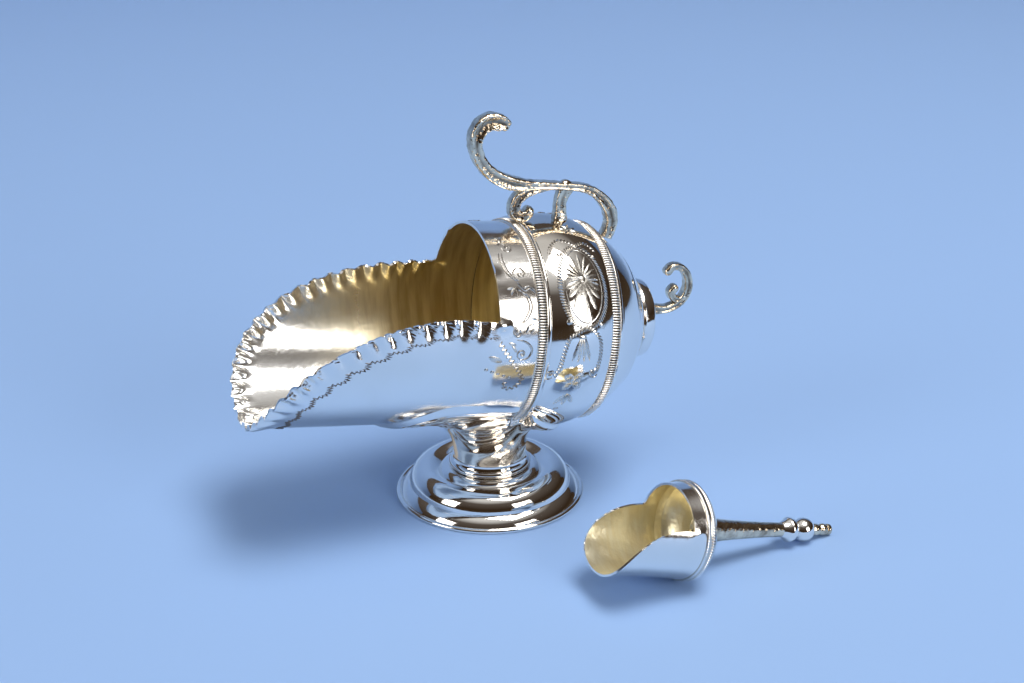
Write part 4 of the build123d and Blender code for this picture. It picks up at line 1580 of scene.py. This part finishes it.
@dataclass
class Castings:
    """The carrying handle, the tail scroll and the bead above it."""

    finishes: Finishes
    bowl: Bowl
    strap: tuple[Station, ...] = (
        Station(5.6, 131.5, 4.4, 5.6, 0.40),
        Station(4.0, 132.3, 5.6, 6.8, 0.55),
        Station(1.2, 132.8, 5.7, 7.1, 0.62),
        Station(-1.8, 131.9, 5.6, 7.0, 0.60),
        Station(-3.8, 129.4, 5.2, 6.6, 0.50),
        Station(-4.5, 126.6, 4.5, 6.0, 0.34),
        Station(-4.2, 123.6, 4.3, 5.4, 0.24),
        Station(-2.5, 119.4, 4.2, 5.2, 0.24),
        Station(1.2, 115.2, 4.6, 5.2, 0.26),
        Station(6.0, 112.3, 4.8, 5.3, 0.30),
        Station(10.5, 110.8, 4.4, 5.3, 0.28),
        Station(14.0, 110.2, 3.3, 5.0, 0.18),
        Station(20.0, 109.4, 2.8, 5.0, 0.20),
        Station(28.0, 108.2, 2.7, 5.0, 0.22),
        Station(34.5, 106.7, 3.0, 5.2, 0.28),
        Station(39.8, 103.5, 3.7, 5.4, 0.36),
        Station(43.4, 98.6, 4.4, 5.4, 0.40),
        Station(44.3, 93.6, 4.3, 5.4, 0.32),
        Station(42.4, 88.6, 4.0, 5.2, 0.10),
    )
    front_leg: tuple[Station, ...] = (
        Station(21.6, 109.0, 2.4, 4.6, 0.16),
        Station(16.8, 108.6, 3.2, 4.8, 0.26),
        Station(13.0, 107.8, 3.7, 5.0, 0.32),
        Station(10.2, 106.0, 3.9, 5.2, 0.36),
        Station(8.9, 103.6, 4.0, 5.2, 0.38),
        Station(9.1, 101.0, 4.0, 5.2, 0.34),
        Station(11.0, 99.7, 3.9, 5.2, 0.26),
        Station(13.2, 100.1, 3.6, 5.2, 0.12),
        Station(14.2, 101.3, 3.2, 5.0, 0.00),
    )
    post: tuple[Station, ...] = (
        Station(27.6, 107.7, 5.4, 4.4, 0.10),
        Station(26.7, 106.2, 4.7, 4.6, 0.20),
        Station(25.6, 103.2, 3.9, 4.6, 0.26),
        Station(25.4, 100.0, 4.1, 4.8, 0.16),
        Station(25.4, 97.3, 4.8, 5.2, 0.00),
    )
    tail: tuple[Station, ...] = (
        Station(55.6, 60.6, 4.4, 4.6, 0.10),
        Station(59.0, 60.1, 3.9, 4.4, 0.20),
        Station(63.0, 59.2, 3.4, 4.4, 0.24),
        Station(67.0, 58.9, 3.0, 4.2, 0.24),
        Station(71.0, 60.2, 3.0, 4.2, 0.26),
        Station(74.0, 63.2, 3.2, 4.4, 0.30),
        Station(75.0, 67.0, 3.1, 4.4, 0.32),
        Station(74.1, 71.0, 2.8, 4.2, 0.28),
        Station(71.6, 73.8, 2.6, 4.0, 0.20),
        Station(68.6, 74.3, 2.7, 4.0, 0.10),
        Station(66.8, 72.8, 3.0, 4.0, 0.00),
    )
    tail_volute: tuple[Station, ...] = (
        Station(73.6, 62.4, 2.0, 3.8, 0.10),
        Station(71.4, 61.8, 2.4, 4.0, 0.20),
        Station(69.2, 62.8, 2.6, 4.0, 0.20),
        Station(68.3, 64.9, 2.8, 4.0, 0.10),
        Station(69.6, 66.2, 3.0, 4.0, 0.00),
    )
    tail_web: tuple[Station, ...] = (
        Station(55.2, 56.4, 5.6, 2.2, 0.00),
        Station(58.6, 57.6, 3.8, 2.2, 0.00),
        Station(63.4, 58.4, 1.8, 2.0, 0.00),
    )

    def build_handle(self) -> None:
        """Casts the handle's strap, its volute leg and its middle post as one piece."""
        strap = Casting("cast_handle", self.strap, round_end=False, roughness=0.12).build()
        leg = Casting("handle_leg", self.front_leg, roughness=0.08).build()
        post = Casting("handle_post", self.post, roughness=0.08).build()
        handle = join_pieces((strap, leg, post))
        dress(handle, Body.BOWL, Slot.CAST, (self.finishes.cast,), ("carrying_handle",), 60)

    def build_tail(self) -> None:
        """Casts the tail scroll and the bead on the cap above it."""
        scroll = Casting("cast_tail", self.tail, round_start=False).build()
        volute = Casting("tail_volute", self.tail_volute).build()
        web = Casting("tail_web", self.tail_web, round_start=False, round_end=False).build()
        tail = join_pieces((scroll, volute, web))
        dress(tail, Body.BOWL, Slot.CAST, (self.finishes.cast,), ("tail_scroll",), 60)
        low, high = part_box("tail_ball")
        radius = (high.z - low.z) / 2
        start_fresh()
        bpy.ops.mesh.primitive_uv_sphere_add(
            segments=32, ring_count=16, radius=radius, location=(low + high) / 2
        )
        ball = bpy.context.object
        ball.name = "tail_bead"
        dress(ball, Body.BOWL, Slot.CAST, (self.finishes.polished,), ("tail_ball",))

    def build(self) -> None:
        """Makes every casting."""
        self.build_handle()
        self.build_tail()


# ------------------------------------------------------------------------ the scoop


@dataclass
class Scoop:
    """The loose scoop, which rests on its beaded band and its outer knop."""

    finishes: Finishes
    place: Pair = (35.4, -77.1)
    heading: float = 185.1
    roll: float = 7.0
    band_radius: float = 15.7
    bead_height: float = 0.5
    bead_width: float = 3.0
    ring_front: float = 5.9
    blade: tuple[Pair, Pair, Pair] = ((0.0, 15.7), (5.9, 14.9), (30.2, 14.1))
    rim_centre: Pair = (8.0, -14.1)
    rim_half: Pair = (21.2, 18.4)
    outer_knop: Pair = (-49.1, 4.0)
    beads: int = 110

    def __post_init__(self) -> None:
        """Works out how the scoop lies on the table."""
        belly = self.band_radius + self.bead_height
        station, knop = self.outer_knop
        slope = math.acos(knop / math.hypot(station, belly)) - math.atan2(-station, belly)
        turn = math.radians(self.heading)
        along = Vector((
            math.cos(slope) * math.cos(turn), math.cos(slope) * math.sin(turn), math.sin(slope)
        ))
        level = Vector((math.sin(turn), -math.cos(turn), 0.0))
        up = level.cross(along)
        height = belly * math.cos(slope) + self.bead_width / 2 * math.sin(slope)
        origin = Vector((*self.place, height))
        roll = math.radians(self.roll)
        self.axis = AxisFrame(origin, along, (up * math.cos(roll) + level * math.sin(roll)).normalized())
        self.radius = circle_through(*self.blade)

    def section(self, station: float) -> Pair:
        """Depth and half width of the blade at a station."""
        radius = self.radius(station)
        return radius, radius

    def build_blade(self) -> None:
        """Makes the blade and the dome behind it."""
        walls = (self.finishes.scoop, self.finishes.pale_gilt)
        blade = OpenShell(
            name="scoop_blade_sheet",
            axis=self.axis,
            joint=0.0,
            ring_front=self.ring_front,
            section=self.section,
            rim_centre=self.rim_centre,
            rim_half=self.rim_half,
            wall=0.7,
            columns=200,
            bumps=((4.6, 19.6, 2.2, 0.5),),
            rim_rows=8,
            wall_rows=14,
        ).build()
        dress(blade, Body.SCOOP, Slot.SCOOP, walls, ("scoop_blade",), 50)
        outline = [
            *arc((0.0, 15.7), (-1.9, 15.0), -0.08, 3),
            (-2.1, 15.15), (-2.5, 14.9), (-2.7, 14.55),
            *arc((-2.9, 14.4), (-7.0, 4.4), -1.2, 14),
        ]
        dome = lathe("scoop_dome_spun", self.axis, outline, 96, 0.7)
        dress(dome, Body.SCOOP, Slot.SCOOP, walls, ("scoop_dome",), 30)

    def build_band(self) -> None:
        """Makes the band with its two rows of beads."""
        low = self.band_radius - 0.35
        top = self.band_radius + 0.08
        outline = [
            (-1.5, low), (-1.5, top - 0.1),
            *arc((-1.45, top), (-0.35, top), 0.28, 5),
            (0.0, top - 0.1),
            *arc((0.35, top), (1.45, top), 0.28, 5),
            (1.5, top - 0.1), (1.5, low), (-1.5, low),
        ]
        band = lathe("scoop_beading", self.axis, outline, self.beads * 6)
        depths = []
        for vertex in band.data.vertices:
            station, radius, angle = self.axis.measure(vertex.co)
            wave = abs(math.cos(angle * self.beads / 2 + (0.8 if station > 0 else 0.0)))
            cut = 0.3 * smooth_step(top, top + 0.2, radius) * (1 - math.sqrt(wave))
            vertex.co = self.axis.around(station, radius - cut, angle)
            # Painted shade: the cuts between beads and the band's sides below them are darkened.
            depths.append(min(1.0, cut * 3 + (0.6 if radius < top else 0.0)))
        store_depth(band, depths)
        dress(band, Body.SCOOP, Slot.SCOOP, (self.finishes.scoop,), ("scoop_bead_band",), 60)

    def build_stem(self) -> None:
        """Makes the collar, the stem, the two knops and the peg."""
        silver, cast = (self.finishes.polished,), (self.finishes.cast,)

        def turned(
            name: str, outline: Sequence[Pair], steps: int, finish: Sequence[bpy.types.Material], node: str
        ) -> None:
            """Turns one solid piece of the stem and dresses it."""
            dress(lathe(name, self.axis, outline, steps), Body.SCOOP, Slot.SCOOP, finish, (node,))

        collar = [(-7.0, 0.0), (-7.0, 5.0), *arc((-7.0, 5.0), (-8.2, 4.5), -0.2, 5)[1:], (-8.2, 0.0)]
        turned("scoop_collar_ring", collar, 64, silver, "scoop_collar")
        route = smooth_path(((-8.2, 4.4), (-13.0, 3.75), (-20.8, 3.1), (-30.0, 2.6), (-39.6, 2.35)), 6)
        turned("scoop_shaft", [(-8.2, 0.0), *map(tuple, route), (-39.6, 0.0)], 64, cast, "scoop_stem")
        inner = [
            (-39.6, 0.0), (-39.6, 2.35), (-39.9, 2.6),
            *arc((-39.9, 2.6), (-42.3, 4.1), 0.15, 5)[1:],
            *arc((-42.3, 4.1), (-45.7, 2.4), -0.55, 10)[1:],
            (-46.0, 2.2), (-46.0, 0.0),
        ]
        turned("scoop_knop_cone", inner, 72, silver, "scoop_knop_inner")
        station, radius = self.outer_knop
        ball = [
            (station + radius * math.cos(turn), radius * math.sin(turn))
            for turn in (math.pi * (0.21 + 0.79 * step / 18) for step in range(19))
        ]
        outer = [(ball[0][0], 0.0), *ball[:-1], (station - radius, 0.0)]
        turned("scoop_knop_ball", outer, 72, silver, "scoop_knop_outer")
        peg = [
            (-52.6, 0.0), (-52.6, 1.8),
            *arc((-52.8, 1.8), (-55.6, 1.8), -0.2, 7),
            (-55.9, 1.6),
            *arc((-56.2, 1.75), (-58.6, 1.75), -0.25, 7),
            (-58.9, 1.65), (-59.1, 1.85), (-60.1, 1.85), (-60.3, 1.6), (-60.3, 0.0),
        ]
        turned("scoop_peg_end", peg, 48, cast, "scoop_peg")

    def build(self) -> None:
        """Makes every piece of the scoop."""
        self.build_blade()
        self.build_band()
        self.build_stem()


# ----------------------------------------------------------------------- the studio


@dataclass(frozen=True)
class SoftBox:
    """One soft studio light, aimed at the object."""

    name: str
    place: tuple[float, float, float]
    width: float
    height: float
    power: float
    tint: Colour = (1.0, 1.0, 1.0)


@dataclass
class Studio:
    """The floor, the lights and the camera."""

    target: tuple[float, float, float] = (8.39, 0.0, 55.0)
    azimuth: float = -21.66
    elevation: float = 22.47
    distance: float = 547.0
    lens: float = 56.25
    floor_tint: Colour = (0.31, 0.48, 0.79)
    boxes: tuple[SoftBox, ...] = (
        SoftBox("overhead_box", (0.45, -0.42, 2.15), 1.1, 1.0, 33.0),
        SoftBox("right_box", (0.94, -1.84, 0.84), 1.0, 1.15, 17.0),
        SoftBox("left_box", (-2.00, -0.36, 0.86), 0.8, 1.1, 10.0),
    )
    room_tints: tuple[tuple[float, Colour], ...] = (
        (0.50, (0.05, 0.035, 0.022)),
        (0.62, (0.03, 0.018, 0.010)),
        (0.86, (0.09, 0.075, 0.065)),
        (0.96, (0.62, 0.62, 0.62)),
    )

    def build_floor(self) -> None:
        """Lays the plain pale floor, which sweeps up far behind the object."""
        front, back, bend, top, half_width = -4.0, 1.15, 0.5, 1.3, 4.0
        turns = [math.pi / 2 * step / 12 for step in range(13)]
        curve = [(back + bend * math.sin(turn), bend - bend * math.cos(turn)) for turn in turns]
        path = [(front, 0.0), *curve, (back + bend, top)]

        def place(along: float, across: float) -> Vector:
            """Place of a crossing of the sweep, in metres."""
            y, z = path[round(across * (len(path) - 1))]
            return Vector(((along - 0.5) * 2 * half_width, y, z))

        floor = shaped_grid("floor", 1, len(path) - 1, place)
        pick(floor)
        bpy.ops.object.shade_smooth_by_angle(angle=math.radians(40))
        sheet = NodeSheet(bpy.data.materials.new("pale_floor"))
        sheet.shader.inputs["Base Color"].default_value = (*self.floor_tint, 1.0)
        sheet.shader.inputs["Roughness"].default_value = 0.9
        floor.data.materials.append(sheet.material)

    def build_lights(self) -> None:
        """Hangs the soft boxes and sets the room's own light."""
        aim = Vector(self.target) * MM
        for box in self.boxes:
            lamp = bpy.data.lights.new(box.name, "AREA")
            lamp.shape = "RECTANGLE"
            lamp.size, lamp.size_y = box.width, box.height
            lamp.energy = box.power
            lamp.color = box.tint
            holder = bpy.data.objects.new(box.name, lamp)
            holder.location = box.place
            holder.rotation_euler = (aim - Vector(box.place)).to_track_quat("-Z", "Y").to_euler()
            bpy.context.scene.collection.objects.link(holder)
        world = bpy.data.worlds.new("room")
        bpy.context.scene.world = world
        world.use_nodes = True
        tree = world.node_tree
        background = tree.nodes["Background"]
        place = tree.nodes.new("ShaderNodeTexCoord")
        split = tree.nodes.new("ShaderNodeSeparateXYZ")
        ramp = tree.nodes.new("ShaderNodeValToRGB")
        elements = ramp.color_ramp.elements
        while len(elements) < len(self.room_tints):
            elements.new(0.5)
        for element, (at, tint) in zip(elements, self.room_tints):
            element.position = at
            element.color = (*tint, 1.0)
        raise_up = tree.nodes.new("ShaderNodeMath")
        raise_up.operation = "MULTIPLY_ADD"
        raise_up.inputs[1].default_value = 0.5
        raise_up.inputs[2].default_value = 0.5
        tree.links.new(place.outputs["Generated"], split.inputs["Vector"])
        tree.links.new(split.outputs["Z"], raise_up.inputs[0])
        tree.links.new(raise_up.outputs["Value"], ramp.inputs["Fac"])
        tree.links.new(ramp.outputs["Color"], background.inputs["Color"])
        background.inputs["Strength"].default_value = 1.0
        bpy.context.scene.view_settings.view_transform = "Standard"

    def build_camera(self) -> None:
        """Sets the camera at its place."""
        turn, tilt = math.radians(self.azimuth), math.radians(self.elevation)
        back = Vector((
            math.sin(turn) * math.cos(tilt), -math.cos(turn) * math.cos(tilt), math.sin(tilt)
        ))
        lens = bpy.data.cameras.new("camera")
        lens.lens = self.lens
        lens.sensor_width = 36.0
        lens.clip_start, lens.clip_end = 0.01, 50.0
        camera = bpy.data.objects.new("camera", lens)
        camera.location = (Vector(self.target) + back * self.distance) * MM
        camera.rotation_mode = "QUATERNION"
        camera.rotation_quaternion = (-back).to_track_quat("-Z", "Y")
        bpy.context.scene.collection.objects.link(camera)
        bpy.context.scene.camera = camera

    def build(self) -> None:
        """Sets up the whole studio."""
        self.build_floor()
        self.build_lights()
        self.build_camera()


def main() -> None:
    """Builds the bowl, the pedestal, the castings, the scoop and the studio."""
    logging.basicConfig(level=logging.INFO, format="%(name)s: %(message)s")
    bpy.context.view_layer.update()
    noise.seed_set(NOISE_SEED)
    finishes = Finishes()
    bowl = Bowl(finishes)
    for part in (bowl, Pedestal(finishes, bowl), Castings(finishes, bowl), Scoop(finishes), Studio()):
        part.build()
    start_fresh()


if __name__ == "__main__":
    main()
